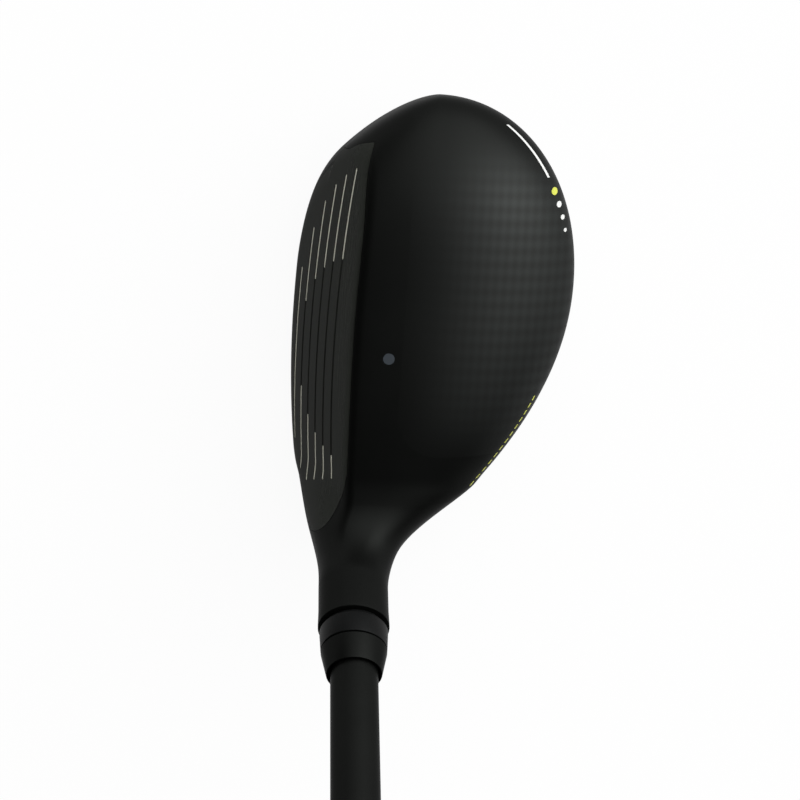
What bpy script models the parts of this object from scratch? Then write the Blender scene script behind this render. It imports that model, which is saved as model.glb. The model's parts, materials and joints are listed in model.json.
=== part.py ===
"""Hybrid golf club with an adjustable hosel, soled as at address. Metres, +Z up.

The face looks along -X, the toe points along +Y and the shaft rises towards -Y. The origin is on the
ground, near the middle of the small flat that the sole stands on.
"""
import math

import bmesh
import bpy
import numpy as np
from mathutils import Euler, Matrix, Vector

MM = 0.001
GAP = 0.3 * MM

# The club as a whole
LIE = math.radians(58.5)
LOFT = math.radians(21.0)
CLUB_LENGTH = 1010 * MM
SHAFT_X = -12 * MM
SHAFT_GROUND_Y = -20.3 * MM
HOSEL_TOP_Z = 50 * MM

# Head: plan, heights and curvature, with x measured from the shaft's axis
CENTRE_X = 13 * MM
BACK_REACH = 30.55 * MM
FRONT_REACH = 33.4 * MM
TOE_Y = 53.4 * MM
WIDE_Y = 15.7 * MM
HEEL_CENTRE_SHIFT = 8 * MM
SKIRT_Z = 15.5 * MM
TOE_TIP_Z = 18.5 * MM
CROWN_Z = 36.3 * MM
CROWN_PEAK_Y = 4 * MM
SOLE_DROP = 0.4 * MM
BACK_RADIUS = 51 * MM
FRONT_RADIUS = 168 * MM
SKIRT_RADIUS = 625 * MM
CROWN_RADIUS = 227 * MM
SOLE_RADIUS = 278 * MM
TOE_BACK_POWER = 2.06
TOE_FRONT_POWER = 1.515
TOE_HEIGHT_POWER = 2.6
CROWN_BACK_POWER = 2.15
CROWN_FRONT_POWER = 2.6
SOLE_BACK_POWER = 2.4
SOLE_FRONT_POWER = 3.0
HEEL_BLEND = 46 * MM
HEEL_ROUND = 4 * MM
LEVEL_EASE = 12 * MM

# Face
FACE_X = -17.2 * MM
FACE_MID_Z = 18 * MM
BULGE_RADIUS = 302 * MM
BULGE_Y = 1.1 * MM
ROLL_RADIUS = 200 * MM
TOPLINE_EDGE = 2 * MM
LEADING_EDGE = 4 * MM
EDGE_FADE = 8 * MM
FACE_THICKNESS = 1.6 * MM
FACE_THINNING = 0.8 * MM
FACE_THIN_Y = -18 * MM
FACE_THIN_LENGTH = 12 * MM
FACE_TOE_Y = 43.8 * MM
FACE_TOE_Z = 30 * MM
FACE_TOE_RADIUS = 14 * MM
FACE_HEEL_X = -16 * MM
FACE_HEEL_Y = -22 * MM
FACE_HEEL_RADIUS = 14.9 * MM
SCORE_LINES = 6
SCORE_LOW_Z = 9.2 * MM
SCORE_PITCH_Z = 3.7 * MM
SCORE_WIDTH = 0.8 * MM
SCORE_DEPTH = 0.35 * MM
SCORE_TAPER = 0.7
SCORE_TOE_Y = 38.3 * MM
SCORE_TOE_SLANT = 0.44
SCORE_TOE_CURVE = 20.5 * MM
SCORE_HEEL_Y = -29.5 * MM
SCORE_HEEL_Z = 16.5 * MM
SCORE_HEEL_HEIGHT = 11 * MM
SCORE_HEEL_SLANT = 0.3

# Neck and hosel, with distances along the shaft's axis up from the hosel's end
NECK_END = -10 * MM
NECK_BEND = 19 * MM
NECK_RATE = 0.8
NECK_START = 0.1
NECK_RISE_RATE = 0.82
NECK_RISE_START = 0.2
NECK_LIFT = 1.2 * MM
NECK_LIFT_END = 0.3
HEEL_REACH = 26 * MM
HOSEL_RADIUS = 7.05 * MM
HOSEL_LIP = 0.1 * MM
HOSEL_LIP_LENGTH = 4 * MM

# Shell
WALL = 1.8 * MM
CROWN_THICKNESS = 1.1 * MM
CROWN_LEDGE = 4 * MM
CROWN_FRONT_X = 7 * MM
CROWN_HEEL_Y = -19 * MM
CROWN_SEAM_Z = 19 * MM
CROWN_CORNER = 9 * MM
CAVITY_TOE_Y = 49.5 * MM
CAVITY_HEEL_Y = -17 * MM
TUBE_WALL = 2.4 * MM

# Adjustable sleeve, its screw and the hosel's bore
BARREL_RADIUS = 5.5 * MM
BARREL_END = -21 * MM
STEM_RADIUS = 4.2 * MM
STEM_END = -31 * MM
KEYS = 8
KEY_WIDTH = 1.1 * MM
KEY_TIP_RADIUS = 3.75 * MM
KEY_LENGTH = 7.5 * MM
KEY_DEPTH = 3 * MM
SHELF_TOP = -31.5 * MM
SHELF_BOTTOM = -36 * MM
PORT_RADIUS = 5.2 * MM
SCREW_RADIUS = 2.35 * MM
SCREW_TIP = -22.5 * MM
SCREW_ROOM = 1 * MM
SCREW_HEAD_RADIUS = 4.2 * MM
SCREW_HEAD_LENGTH = 4.6 * MM
SCREW_SOCKET_RADIUS = 2.1 * MM
SCREW_SOCKET_DEPTH = 2.6 * MM
WASHER_THICKNESS = 1.0 * MM
RETAINER_THICKNESS = 1.5 * MM
RETAINER_OVERLAP = 1 * MM
SLEEVE_VENT_RADIUS = 0.8 * MM
COLLAR_START = 1.2 * MM
COLLAR_END = 5.9 * MM
COLLAR_RADIUS = 6.85 * MM
COLLAR_TOP_RADIUS = 6.6 * MM
UNDERCUT_RADIUS = 6.3 * MM
SPIGOT_RADIUS = 5.4 * MM
SPIGOT_LENGTH = 1.3 * MM
FERRULE_RADIUS = 6.6 * MM
FERRULE_TIP_RADIUS = 5.5 * MM
FERRULE_END = 11.8 * MM
FERRULE_RECESS = 1.2 * MM
FERRULE_LIP = 0.25 * MM

# Shaft and grip
SHAFT_TIP = -18.7 * MM
SHAFT_TIP_RADIUS = 4.7 * MM
SHAFT_BUTT_RADIUS = 7.62 * MM
SHAFT_PARALLEL = 60 * MM
SHAFT_WALL = 1.2 * MM
GRIP_LENGTH = 270 * MM
GRIP_CAP = 5 * MM
GRIP_CAP_RADIUS = 13.4 * MM
GRIP_CAP_SWELL = 9 * MM
GRIP_RADIUS = 11.7 * MM
GRIP_MOUTH_RADIUS = 8.6 * MM
GRIP_TAPER_POWER = 0.85
TAPE_THICKNESS = 0.3 * MM
TAPE_GAP = 0.15 * MM
TAPE_SHORT = 12 * MM
VENT_RADIUS = 1.2 * MM

# Sole weight, on an axis square to the sole, with heights up from the sole
WEIGHT_X = 25 * MM
WEIGHT_Y = 14 * MM
WEIGHT_Z = 0.9 * MM
WEIGHT_TILT = math.radians(8)
WEIGHT_RADIUS = 7.5 * MM
WEIGHT_HEIGHT = 5.2 * MM
WEIGHT_RECESS = 0.4 * MM
WEIGHT_SCREW_HEAD_RADIUS = 3.4 * MM
WEIGHT_SCREW_HEAD_LENGTH = 2.4 * MM
WEIGHT_SCREW_SUNK = 1 * MM
WEIGHT_SCREW_RADIUS = 1.85 * MM
WEIGHT_SCREW_REACH = 13 * MM
WEIGHT_SOCKET_RADIUS = 1.7 * MM
WEIGHT_SOCKET_DEPTH = 1.5 * MM
SOCKET_LOBES = 6
SOCKET_WAVE = 0.11
HOUSING_RADIUS = 9.6 * MM
HOUSING_HEIGHT = 8 * MM
BOSS_RADIUS = 4.4 * MM
BOSS_HEIGHT = 16 * MM

# Facets, edges, and how far a cutter reaches past what it cuts
HEAD_STATIONS = 24
NECK_STATIONS = 8
TURNED_STEPS = 32
LOBE_STEPS = 48
CHAMFER = 0.4 * MM
BEYOND = 60 * MM
CLEAR = 10 * MM
LEAST_REACH = 0.1 * MM

AXIS = Vector((0, -math.cos(LIE), math.sin(LIE)))
HOSEL_END = Vector((SHAFT_X, SHAFT_GROUND_Y - HOSEL_TOP_Z / math.tan(LIE), HOSEL_TOP_Z))
BUTT = CLUB_LENGTH - HOSEL_TOP_Z / math.sin(LIE)

for old in list(bpy.data.objects):
    bpy.data.objects.remove(old, do_unlink=True)
club = bpy.data.collections.new("hybrid_golf_club")
cutters = bpy.data.collections.new("hybrid_golf_club_cutters")
cutters.hide_render = True
for group in (club, cutters):
    bpy.context.scene.collection.children.link(group)


def material(name, colour, roughness, metallic):
    """A Principled material of one colour."""
    made = bpy.data.materials.new(name)
    made.use_nodes = True
    shader = made.node_tree.nodes["Principled BSDF"]
    shader.inputs["Base Color"].default_value = (*colour, 1)
    shader.inputs["Roughness"].default_value = roughness
    shader.inputs["Metallic"].default_value = metallic
    return made


def place(name, mesh, finish=None, parent=None):
    """An object for the mesh: a part where it has a finish, and otherwise a cutter."""
    obj = bpy.data.objects.new(name, mesh)
    obj.parent = parent
    if finish:
        mesh.materials.append(finish)
        club.objects.link(obj)
    else:
        obj.hide_render = True
        obj.display_type = "WIRE"
        cutters.objects.link(obj)
    return obj


def cut(obj, cutter, operation="DIFFERENCE", solver="EXACT"):
    boolean = obj.modifiers.new(operation.lower() + "_" + cutter.name, "BOOLEAN")
    boolean.operation = operation
    boolean.solver = solver
    boolean.object = cutter


def smooth_shaded(mesh, angle=math.radians(35)):
    mesh.shade_smooth()
    mesh.set_sharp_from_angle(angle=angle)


def lofted(name, rings):
    """A closed mesh through rings of points, with a flat cap at each end."""
    count, around = rings.shape[:2]
    start = np.arange(count - 1)[:, None] * around
    here = np.arange(around)[None, :]
    beside = (here + 1) % around
    sides = np.stack([start + here, start + beside, start + around + beside, start + around + here], -1)
    faces = sides.reshape(-1, 4).tolist()
    faces.append(list(range(around)))
    faces.append(list(range((count - 1) * around, count * around)))
    mesh = bpy.data.meshes.new(name)
    mesh.from_pydata(rings.reshape(-1, 3).tolist(), [], faces)
    shape = bmesh.new()
    shape.from_mesh(mesh)
    bmesh.ops.recalc_face_normals(shape, faces=shape.faces)
    shape.to_mesh(mesh)
    shape.free()
    smooth_shaded(mesh)
    return mesh


def turned(name, profile, finish=None, parent=None, hollow=False):
    """A profile of (radius, height) turned about Z, which runs down the outside and up the bore if hollow."""
    mesh = bpy.data.meshes.new(name)
    count = len(profile)
    edges = [(i, i + 1) for i in range(count - 1)]
    if hollow:
        edges.append((count - 1, 0))
    mesh.from_pydata([(radius, 0, height) for radius, height in profile], edges, [])
    obj = place(name, mesh, finish, parent)
    screw = obj.modifiers.new("turn", "SCREW")
    screw.axis = "Z"
    screw.angle = 2 * math.pi
    screw.steps = screw.render_steps = TURNED_STEPS
    screw.use_merge_vertices = True
    screw.merge_threshold = 0.01 * MM
    screw.use_smooth_shade = True
    return obj


def block(name, low, high, corner=0.0):
    """A box cutter between two corners, with its upright edges rounded."""
    low, high = Vector(low), Vector(high)
    shape = bmesh.new()
    bmesh.ops.create_cube(shape, size=1)
    bmesh.ops.scale(shape, vec=high - low, verts=shape.verts)
    bmesh.ops.translate(shape, vec=(low + high) / 2, verts=shape.verts)
    if corner:
        upright = [e for e in shape.edges if abs(e.verts[0].co.z - e.verts[1].co.z) > MM]
        bmesh.ops.bevel(shape, geom=upright, offset=corner, segments=6, profile=0.5, affect="EDGES")
    mesh = bpy.data.meshes.new(name)
    shape.to_mesh(mesh)
    shape.free()
    return place(name, mesh)


def empty(name, location, rotation):
    """A frame that the pieces of one body hang on, with its Z along the axis they turn or slide on."""
    frame = bpy.data.objects.new(name, None)
    frame.empty_display_size = 10 * MM
    frame.location = location
    frame.rotation_euler = rotation
    club.objects.link(frame)
    return frame


# Head form: round sections about a line from toe to heel, cut off by the face, then fanned into the hosel

def eased(t):
    t = np.clip(t, 0, 1)
    return t * t * (3 - 2 * t)


def superellipse(t, power):
    """Height of a superellipse of unit size at a share t of its length."""
    return (1 - np.clip(t, 0, 1) ** power) ** (1 / power)


def rounded_max(reach, at_heel):
    """The greater of a reach and the hosel's, eased where they cross."""
    ease = HEEL_ROUND * at_heel / HOSEL_RADIUS
    return (reach + at_heel + np.sqrt((reach - at_heel) ** 2 + ease**2)) / 2


def rounded_min(a, b, edge):
    """The lesser of two lengths, with the edge where they meet rounded."""
    overlap = np.clip(edge - np.abs(a - b), 0, None) / edge
    return np.minimum(a, b) - overlap**2 * edge / 4


def round_section(y):
    """Centre x and z of the section at y, and its reach to the back, front, top and bottom."""
    toeward = (y - WIDE_Y) / (TOE_Y - WIDE_Y)
    heelward = np.clip(WIDE_Y - y, 0, None)
    near_heel = rounded_min(y, WIDE_Y, LEVEL_EASE)
    height = superellipse(toeward, TOE_HEIGHT_POWER)
    to_heel = eased(heelward / HEEL_BLEND)
    x = CENTRE_X - HEEL_CENTRE_SHIFT * to_heel
    z = SKIRT_Z + (TOE_TIP_Z - SKIRT_Z) * np.clip(toeward, 0, 1) ** 2 + heelward**2 / (2 * SKIRT_RADIUS)
    back = CENTRE_X + BACK_REACH * superellipse(toeward, TOE_BACK_POWER) - heelward**2 / (2 * BACK_RADIUS)
    front = CENTRE_X - FRONT_REACH * superellipse(toeward, TOE_FRONT_POWER) + heelward**2 / (2 * FRONT_RADIUS)
    top = CROWN_Z - (near_heel - CROWN_PEAK_Y) ** 2 / (2 * CROWN_RADIUS)
    sole = near_heel**2 / (2 * SOLE_RADIUS) - SOLE_DROP
    at_heel = HOSEL_RADIUS * to_heel
    across = rounded_max(back - x, at_heel), rounded_max(x - front, at_heel)
    upright = (top - z) * height, (z - sole) * height
    return x, z, *(np.maximum(reach, LEAST_REACH) for reach in across + upright)


def face_x(y, z):
    """The face: lofted back, bulged from heel to toe and rolled from top to bottom."""
    bulge = (y - BULGE_Y) ** 2 / (2 * BULGE_RADIUS)
    roll = (z - FACE_MID_Z) ** 2 / (2 * ROLL_RADIUS)
    return FACE_X + z * math.tan(LOFT) + bulge + roll


def round_radius(angle, back, front, top, bottom, roundness=0.0):
    """Superellipse radius at an angle turning from the back over the crown, an ellipse's at roundness 1."""
    across, up = np.cos(angle), np.sin(angle)
    power = np.where(
        up > 0,
        np.where(across > 0, CROWN_BACK_POWER, CROWN_FRONT_POWER),
        np.where(across > 0, SOLE_BACK_POWER, SOLE_FRONT_POWER),
    )
    power = power + (2 - power) * roundness
    wide = np.abs(across) / np.where(across > 0, back, front)
    tall = np.abs(up) / np.where(up > 0, top, bottom)
    return (wide**power + tall**power) ** (-1 / power)


def face_radius(angle, x, y, z):
    """Distance from a section's centre to the face at an angle, the root of a quadratic in that distance."""
    across, up = np.cos(angle), np.sin(angle)
    bend = up**2 / (2 * ROLL_RADIUS)
    slope = up * (math.tan(LOFT) + (z - FACE_MID_Z) / ROLL_RADIUS) - across
    depth = x - face_x(y, z)
    return 2 * depth / np.maximum(slope + np.sqrt(slope**2 + 4 * bend * depth), 1e-4)


PIVOT = np.array(HOSEL_END + AXIS * NECK_END)[1:] + NECK_BEND * np.array([math.sin(LIE), math.cos(LIE)])
HEEL_Y = PIVOT[0]


def toward_hosel(y, start, rate):
    """Share of the way into the hosel at y: an eased power of the distance from a start before the fan."""
    way = (HEEL_Y - y) / (HEEL_REACH * LIE)
    return eased(np.clip((way + start) / (1 + start), 0, 1) ** rate)


def head_rings(y, fan, angle, inset=0.0):
    """Rings of the head: y for upright sections, then fan from 0 to 1 as they swing round into the hosel.
    The sides draw in from just before the fan, and the crown and sole rise towards the axis sooner."""
    y = np.where(fan > 0, HEEL_Y - HEEL_REACH * fan * LIE, y)[:, None]
    fan = fan[:, None]
    x, z, back, front, top, bottom = round_section(y)
    drawn_in = toward_hosel(y, NECK_START, NECK_RATE)
    risen = toward_hosel(y, NECK_RISE_START, NECK_RISE_RATE)
    into_hosel = drawn_in + (risen - drawn_in) * np.sin(angle) ** 2
    edge = np.where(np.sin(angle) > 0, TOPLINE_EDGE, LEADING_EDGE) * np.minimum(1, front / EDGE_FADE)
    radius = round_radius(angle, back, front, top, bottom, drawn_in)
    face = face_radius(angle, x, y, z) + NECK_LIFT * eased(fan / NECK_LIFT_END)
    radius = rounded_min(radius, face, edge)
    radius = radius + (HOSEL_RADIUS - radius) * into_hosel - inset
    below = (PIVOT[1] - z) * (1 - risen) + NECK_BEND * risen - radius * np.sin(angle)
    swing = fan * LIE
    return np.stack([
        SHAFT_X + x * (1 - drawn_in) + radius * np.cos(angle),
        np.where(fan > 0, HEEL_Y - below * np.sin(swing), y),
        PIVOT[1] - below * np.cos(swing),
    ], -1)


def face_edges(y):
    """Angles of the topline and leading edge at each y, held at the last ones where the face has ended."""
    x, z, back, front, top, bottom = (v[:, None] for v in round_section(y))
    angle = np.linspace(math.radians(95), math.radians(265), 511)[None, :]
    on_face = face_radius(angle, x, y[:, None], z) < round_radius(angle, back, front, top, bottom)
    rows = np.where(on_face.sum(1) > on_face.shape[1] * 0.3, np.arange(len(y)), -1)
    first = rows[rows >= 0][0]
    rows = np.maximum(np.maximum.accumulate(rows), first)
    return angle[0, on_face.argmax(1)][rows], angle[0, ::-1][on_face[:, ::-1].argmax(1)][rows]


def section_angles(y, over_crown, over_face, under_sole):
    """Angles of the points of each ring, so that the face's two edges run along the rings' own points."""
    topline, lead = (v[:, None] for v in face_edges(y))
    crown = topline * np.sin(np.arange(over_crown) / over_crown * math.pi / 2)
    face = topline + (lead - topline) * (1 - np.cos(np.arange(over_face) / over_face * math.pi)) / 2
    sole = lead + (2 * math.pi - lead) * (1 - np.cos(np.arange(under_sole) / under_sole * math.pi / 2))
    return np.concatenate([crown, face, sole], 1)


def head_solid(name, toe_y, heel_y, stations, fans=0, inset=0.0, around=(14, 10, 20)):
    """The head, or a smaller one inside it, between two heights on the y axis or on into the hosel."""
    share = 1 - np.cos(np.linspace(0.02, 1, stations) * math.pi / 2)
    y = np.concatenate([toe_y + (heel_y - toe_y) * share, np.full(fans, heel_y)])
    fan = np.concatenate([np.zeros(stations), np.arange(1, fans + 1) / max(fans, 1)])
    rings = head_rings(y, fan, section_angles(y, *around), inset)
    if fans:
        neck = rings[-1]
        out = neck - np.array(HOSEL_END + AXIS * NECK_END)
        lip = 1 + HOSEL_LIP / HOSEL_RADIUS
        rise = [(-HOSEL_LIP_LENGTH, 1), (-HOSEL_LIP_LENGTH / 4, lip), (0, lip)]
        hosel = [np.array(HOSEL_END + AXIS * up) + out * swell for up, swell in rise]
        rings = np.concatenate([rings, np.stack(hosel)])
    return lofted(name, rings)


def whole_head(name, finish):
    return place(name, head_solid(name, TOE_Y, HEEL_Y, HEAD_STATIONS, fans=NECK_STATIONS), finish)


# Frames of the bodies

SHAFT_TURN = Euler((math.pi / 2 - LIE, 0, 0))
WEIGHT_TURN = Euler((0, -WEIGHT_TILT, 0))
hosel_frame = empty("hosel_frame", HOSEL_END, SHAFT_TURN)
shaft_frame = empty("shaft_frame", HOSEL_END, SHAFT_TURN)
weight_frame = empty("weight_frame", (SHAFT_X + WEIGHT_X, WEIGHT_Y, WEIGHT_Z), WEIGHT_TURN)


# Cutters that divide the head form into body, face and crown

def heel_round(name, grow):
    """An upright prism that is round at the heel, open to the back from the middle of its round onwards."""
    x, y = SHAFT_X + FACE_HEEL_X, FACE_HEEL_Y
    turn = np.linspace(math.pi, 2 * math.pi, 25)
    radius = FACE_HEEL_RADIUS + grow
    outline = np.stack([x + radius * np.cos(turn), y + radius * np.sin(turn)], -1)
    outline = np.concatenate([outline, [(BEYOND, y), (BEYOND, BEYOND), (x - radius, BEYOND)]])
    levels = [np.column_stack([outline, np.full(len(outline), z)]) for z in (-CLEAR, BEYOND)]
    return place(name, lofted(name, np.stack(levels)))


def face_slab(name, thickness, end_gap):
    """What lies in front of the back of the face, between a curved end at the toe and a round at the heel,
    where the plate thins to clear the hosel's bore."""
    z = np.linspace(-BEYOND / 9, BEYOND * 2 / 3, 25)[:, None]
    toe = FACE_TOE_Y - (z - FACE_TOE_Z) ** 2 / (2 * FACE_TOE_RADIUS) + end_gap
    y = -BEYOND + (toe + BEYOND) * np.linspace(0, 1, 15)[None, :]
    thinned = thickness - FACE_THINNING * eased((FACE_THIN_Y - y) / FACE_THIN_LENGTH)
    back = SHAFT_X + face_x(y, z) + thinned / math.cos(LOFT)
    front = np.full_like(y, SHAFT_X + FACE_X - CLEAR)
    z = np.broadcast_to(z, y.shape)
    rings = np.concatenate([np.stack([front, y, z], -1), np.stack([back, y, z], -1)[:, ::-1]], 1)
    slab = place(name, lofted(name, rings))
    cut(slab, heel_round(name + "_heel", end_gap), "INTERSECT", "MANIFOLD")
    return slab


def crown_block(name, grow):
    """The space over the crown's seam, grown or shrunk all round."""
    low = (SHAFT_X + CROWN_FRONT_X - grow, CROWN_HEEL_Y - grow, CROWN_SEAM_Z - grow)
    return block(name, low, (BEYOND, TOE_Y + 2 * CROWN_CORNER, BEYOND), CROWN_CORNER + grow)


def inner_head(name, inset, stations=22):
    return place(name, head_solid(name, CAVITY_TOE_Y, CAVITY_HEEL_Y - CROWN_LEDGE, stations, inset=inset))


face_front = face_slab("face_front", FACE_THICKNESS, 0)
face_room = face_slab("face_room", FACE_THICKNESS + GAP, GAP)
crown_space = crown_block("crown_space", 0)
crown_underside = inner_head("crown_underside", CROWN_THICKNESS)
crown_rabbet = crown_block("crown_rabbet", GAP)
cut(crown_rabbet, inner_head("ledge_top", CROWN_THICKNESS + GAP))
crown_opening = crown_block("crown_opening", -CROWN_LEDGE)

# Cavity of the head, left solid round the hosel's bore and the weight's port

cavity = place("cavity", head_solid(
    "cavity", CAVITY_TOE_Y, CAVITY_HEEL_Y, 18, inset=WALL + CROWN_THICKNESS / 2, around=(11, 7, 14)))
cut(cavity, turned("hosel_tube", [
    (0, 0), (PORT_RADIUS + TUBE_WALL, 0), (PORT_RADIUS + TUBE_WALL, -BEYOND), (0, -BEYOND),
], parent=hosel_frame))
cut(cavity, turned("weight_housing", [
    (0, BOSS_HEIGHT), (BOSS_RADIUS, BOSS_HEIGHT), (BOSS_RADIUS, HOUSING_HEIGHT),
    (HOUSING_RADIUS, HOUSING_HEIGHT), (HOUSING_RADIUS, -CLEAR), (0, -CLEAR),
], parent=weight_frame))


# Hosel bore, with keys that hold the sleeve in one of its turned positions

def keys(name, width, tip, length, parent):
    """Straight ribs round the foot of the bore, reaching in to a tip radius."""
    shape = bmesh.new()
    size = Matrix.Diagonal((KEY_DEPTH, width, length, 1))
    seat = Matrix.Translation((tip + KEY_DEPTH / 2, 0, SHELF_TOP - MM + length / 2))
    for key in range(KEYS):
        made = bmesh.ops.create_cube(shape, size=1)
        turn = Matrix.Rotation(2 * math.pi * key / KEYS, 4, "Z")
        bmesh.ops.transform(shape, matrix=turn @ seat @ size, verts=made["verts"])
    mesh = bpy.data.meshes.new(name)
    shape.to_mesh(mesh)
    shape.free()
    return place(name, mesh, parent=parent)


hosel_bore = turned("hosel_bore", [
    (0, CLEAR), (BARREL_RADIUS + GAP, CLEAR), (BARREL_RADIUS + GAP, BARREL_END - GAP),
    (STEM_RADIUS + GAP, BARREL_END - GAP), (STEM_RADIUS + GAP, SHELF_TOP),
    (SCREW_RADIUS + 2 * GAP, SHELF_TOP), (SCREW_RADIUS + 2 * GAP, SHELF_BOTTOM),
    (PORT_RADIUS, SHELF_BOTTOM), (PORT_RADIUS, -BEYOND - CLEAR), (0, -BEYOND - CLEAR),
], parent=hosel_frame)
cut(hosel_bore, keys("bore_keys", KEY_WIDTH, KEY_TIP_RADIUS, KEY_LENGTH + MM, hosel_frame))

weight_port = turned("weight_port", [
    (0, WEIGHT_SCREW_REACH + SCREW_ROOM), (WEIGHT_SCREW_RADIUS + GAP, WEIGHT_SCREW_REACH + SCREW_ROOM),
    (WEIGHT_SCREW_RADIUS + GAP, WEIGHT_RECESS + WEIGHT_HEIGHT + GAP),
    (WEIGHT_RADIUS + GAP, WEIGHT_RECESS + WEIGHT_HEIGHT + GAP), (WEIGHT_RADIUS + GAP, -CLEAR), (0, -CLEAR),
], parent=weight_frame)


# Cast steel body: sole, skirt, front of the crown and hosel in one shell, open at the face and the crown

cast_steel = material("satin_black_cast_steel", (0.012, 0.012, 0.013), 0.42, 0.6)
head_body = whole_head("head_body", cast_steel)
for tool in (face_room, crown_rabbet, crown_opening, cavity, hosel_bore, weight_port):
    cut(head_body, tool)
cut(head_body, block("ground", (-BEYOND, -BEYOND, -CLEAR), (BEYOND, BEYOND, 0)))


# Forged steel face plate, with its score lines cut across it

def score_line(z):
    """A shallow groove along the face at one height, ended short of the face's own outline."""
    under = SCORE_LOW_Z + (SCORE_LINES - 1) * SCORE_PITCH_Z - z
    toe = SCORE_TOE_Y - SCORE_TOE_SLANT * under - under * (under / SCORE_TOE_CURVE) ** 2
    low = max(SCORE_HEEL_Z - z, 0) / SCORE_HEEL_HEIGHT
    heel = SCORE_HEEL_Y * math.sqrt(1 - low**2) + SCORE_HEEL_SLANT * max(z - SCORE_HEEL_Z, 0)
    y = np.linspace(heel, toe, 15)
    rings = []
    for out, half in ((-MM, 1), (-MM, -1), (SCORE_DEPTH, -SCORE_TAPER), (SCORE_DEPTH, SCORE_TAPER)):
        up = np.full_like(y, z + half * SCORE_WIDTH / 2)
        rings.append(np.stack([SHAFT_X + face_x(y, up) + out, y, up], -1))
    return np.stack(rings, 1)


forged_steel = material("milled_dark_steel", (0.022, 0.024, 0.022), 0.38, 0.85)
face_plate = whole_head("face_plate", forged_steel)
cut(face_plate, face_front, "INTERSECT")
grooves = bmesh.new()
for line in range(SCORE_LINES):
    groove = lofted("score_line", score_line(SCORE_LOW_Z + line * SCORE_PITCH_Z))
    grooves.from_mesh(groove)
    bpy.data.meshes.remove(groove)
score_mesh = bpy.data.meshes.new("score_lines")
grooves.to_mesh(score_mesh)
grooves.free()
cut(face_plate, place("score_lines", score_mesh), solver="MANIFOLD")

# Carbon composite crown, a thin shell that lies on the body's ledge

carbon = material("satin_black_carbon_composite", (0.010, 0.010, 0.011), 0.45, 0.0)
crown_shell = whole_head("crown_shell", carbon)
cut(crown_shell, crown_space, "INTERSECT")
cut(crown_shell, crown_underside)


# Adjustable sleeve: a collar on the hosel's end, a barrel and a keyed stem inside it

aluminium = material("anodised_charcoal_aluminium", (0.022, 0.022, 0.023), 0.36, 0.8)
shaft_bore = SHAFT_TIP_RADIUS + GAP
adapter_sleeve = turned("adapter_sleeve", [
    (SPIGOT_RADIUS, COLLAR_END + SPIGOT_LENGTH), (SPIGOT_RADIUS, COLLAR_END),
    (COLLAR_TOP_RADIUS - CHAMFER / 2, COLLAR_END), (COLLAR_TOP_RADIUS, COLLAR_END - CHAMFER),
    (COLLAR_RADIUS, COLLAR_START), (UNDERCUT_RADIUS, COLLAR_START), (UNDERCUT_RADIUS, GAP),
    (BARREL_RADIUS, GAP), (BARREL_RADIUS, BARREL_END), (STEM_RADIUS, BARREL_END), (STEM_RADIUS, STEM_END),
    (SCREW_RADIUS + GAP, STEM_END), (SCREW_RADIUS + GAP, SCREW_TIP + SCREW_ROOM),
    (SLEEVE_VENT_RADIUS, SCREW_TIP + SCREW_ROOM + 2 * GAP), (SLEEVE_VENT_RADIUS, SHAFT_TIP - GAP),
    (shaft_bore, SHAFT_TIP - GAP), (shaft_bore, COLLAR_END + SPIGOT_LENGTH),
], aluminium, shaft_frame, hollow=True)
cut(adapter_sleeve, keys(
    "sleeve_keyways", KEY_WIDTH + 2 * GAP, KEY_TIP_RADIUS - GAP, KEY_LENGTH + MM + GAP, shaft_frame))

# Moulded ferrule that covers the top of the sleeve and tapers to the shaft

abs_plastic = material("satin_charcoal_abs", (0.018, 0.018, 0.018), 0.42, 0.0)
ferrule_start = COLLAR_END + GAP
turned("ferrule", [
    (FERRULE_TIP_RADIUS - CHAMFER / 4, FERRULE_END), (FERRULE_TIP_RADIUS, FERRULE_END - CHAMFER),
    (FERRULE_RADIUS, ferrule_start + CHAMFER), (FERRULE_RADIUS - CHAMFER / 2, ferrule_start),
    (SPIGOT_RADIUS + GAP, ferrule_start), (SPIGOT_RADIUS + GAP, ferrule_start + SPIGOT_LENGTH),
    (shaft_bore, ferrule_start + SPIGOT_LENGTH), (shaft_bore, FERRULE_END - FERRULE_RECESS),
    (FERRULE_TIP_RADIUS - FERRULE_LIP, FERRULE_END - FERRULE_RECESS),
    (FERRULE_TIP_RADIUS - FERRULE_LIP, FERRULE_END),
], abs_plastic, shaft_frame, hollow=True)


# Carbon fibre shaft: parallel at the tip, then a steady taper to the butt

def shaft_radius(along):
    taper = (along - SHAFT_PARALLEL) / (BUTT - GRIP_CAP - SHAFT_PARALLEL)
    return SHAFT_TIP_RADIUS + (SHAFT_BUTT_RADIUS - SHAFT_TIP_RADIUS) * min(max(taper, 0), 1)


graphite = material("satin_black_graphite", (0.012, 0.012, 0.012), 0.4, 0.0)
shaft_end = BUTT - GRIP_CAP
shaft_stations = [shaft_end, SHAFT_PARALLEL, SHAFT_TIP]
turned("shaft", [(shaft_radius(at), at) for at in shaft_stations] + [
    (shaft_radius(at) - SHAFT_WALL, at) for at in reversed(shaft_stations)
], graphite, shaft_frame, hollow=True)

# Double-sided tape under the grip

cotton_tape = material("white_cotton_tape", (0.75, 0.73, 0.68), 0.9, 0.0)
grip_mouth = BUTT - GRIP_LENGTH
tape_ends = [shaft_end, grip_mouth + TAPE_SHORT]
turned("grip_tape", [(shaft_radius(at) + TAPE_GAP + TAPE_THICKNESS, at) for at in tape_ends] + [
    (shaft_radius(at) + TAPE_GAP, at) for at in reversed(tape_ends)
], cotton_tape, shaft_frame, hollow=True)


# Rubber grip: a swelling cap with a vent, then a taper to its mouth

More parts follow.
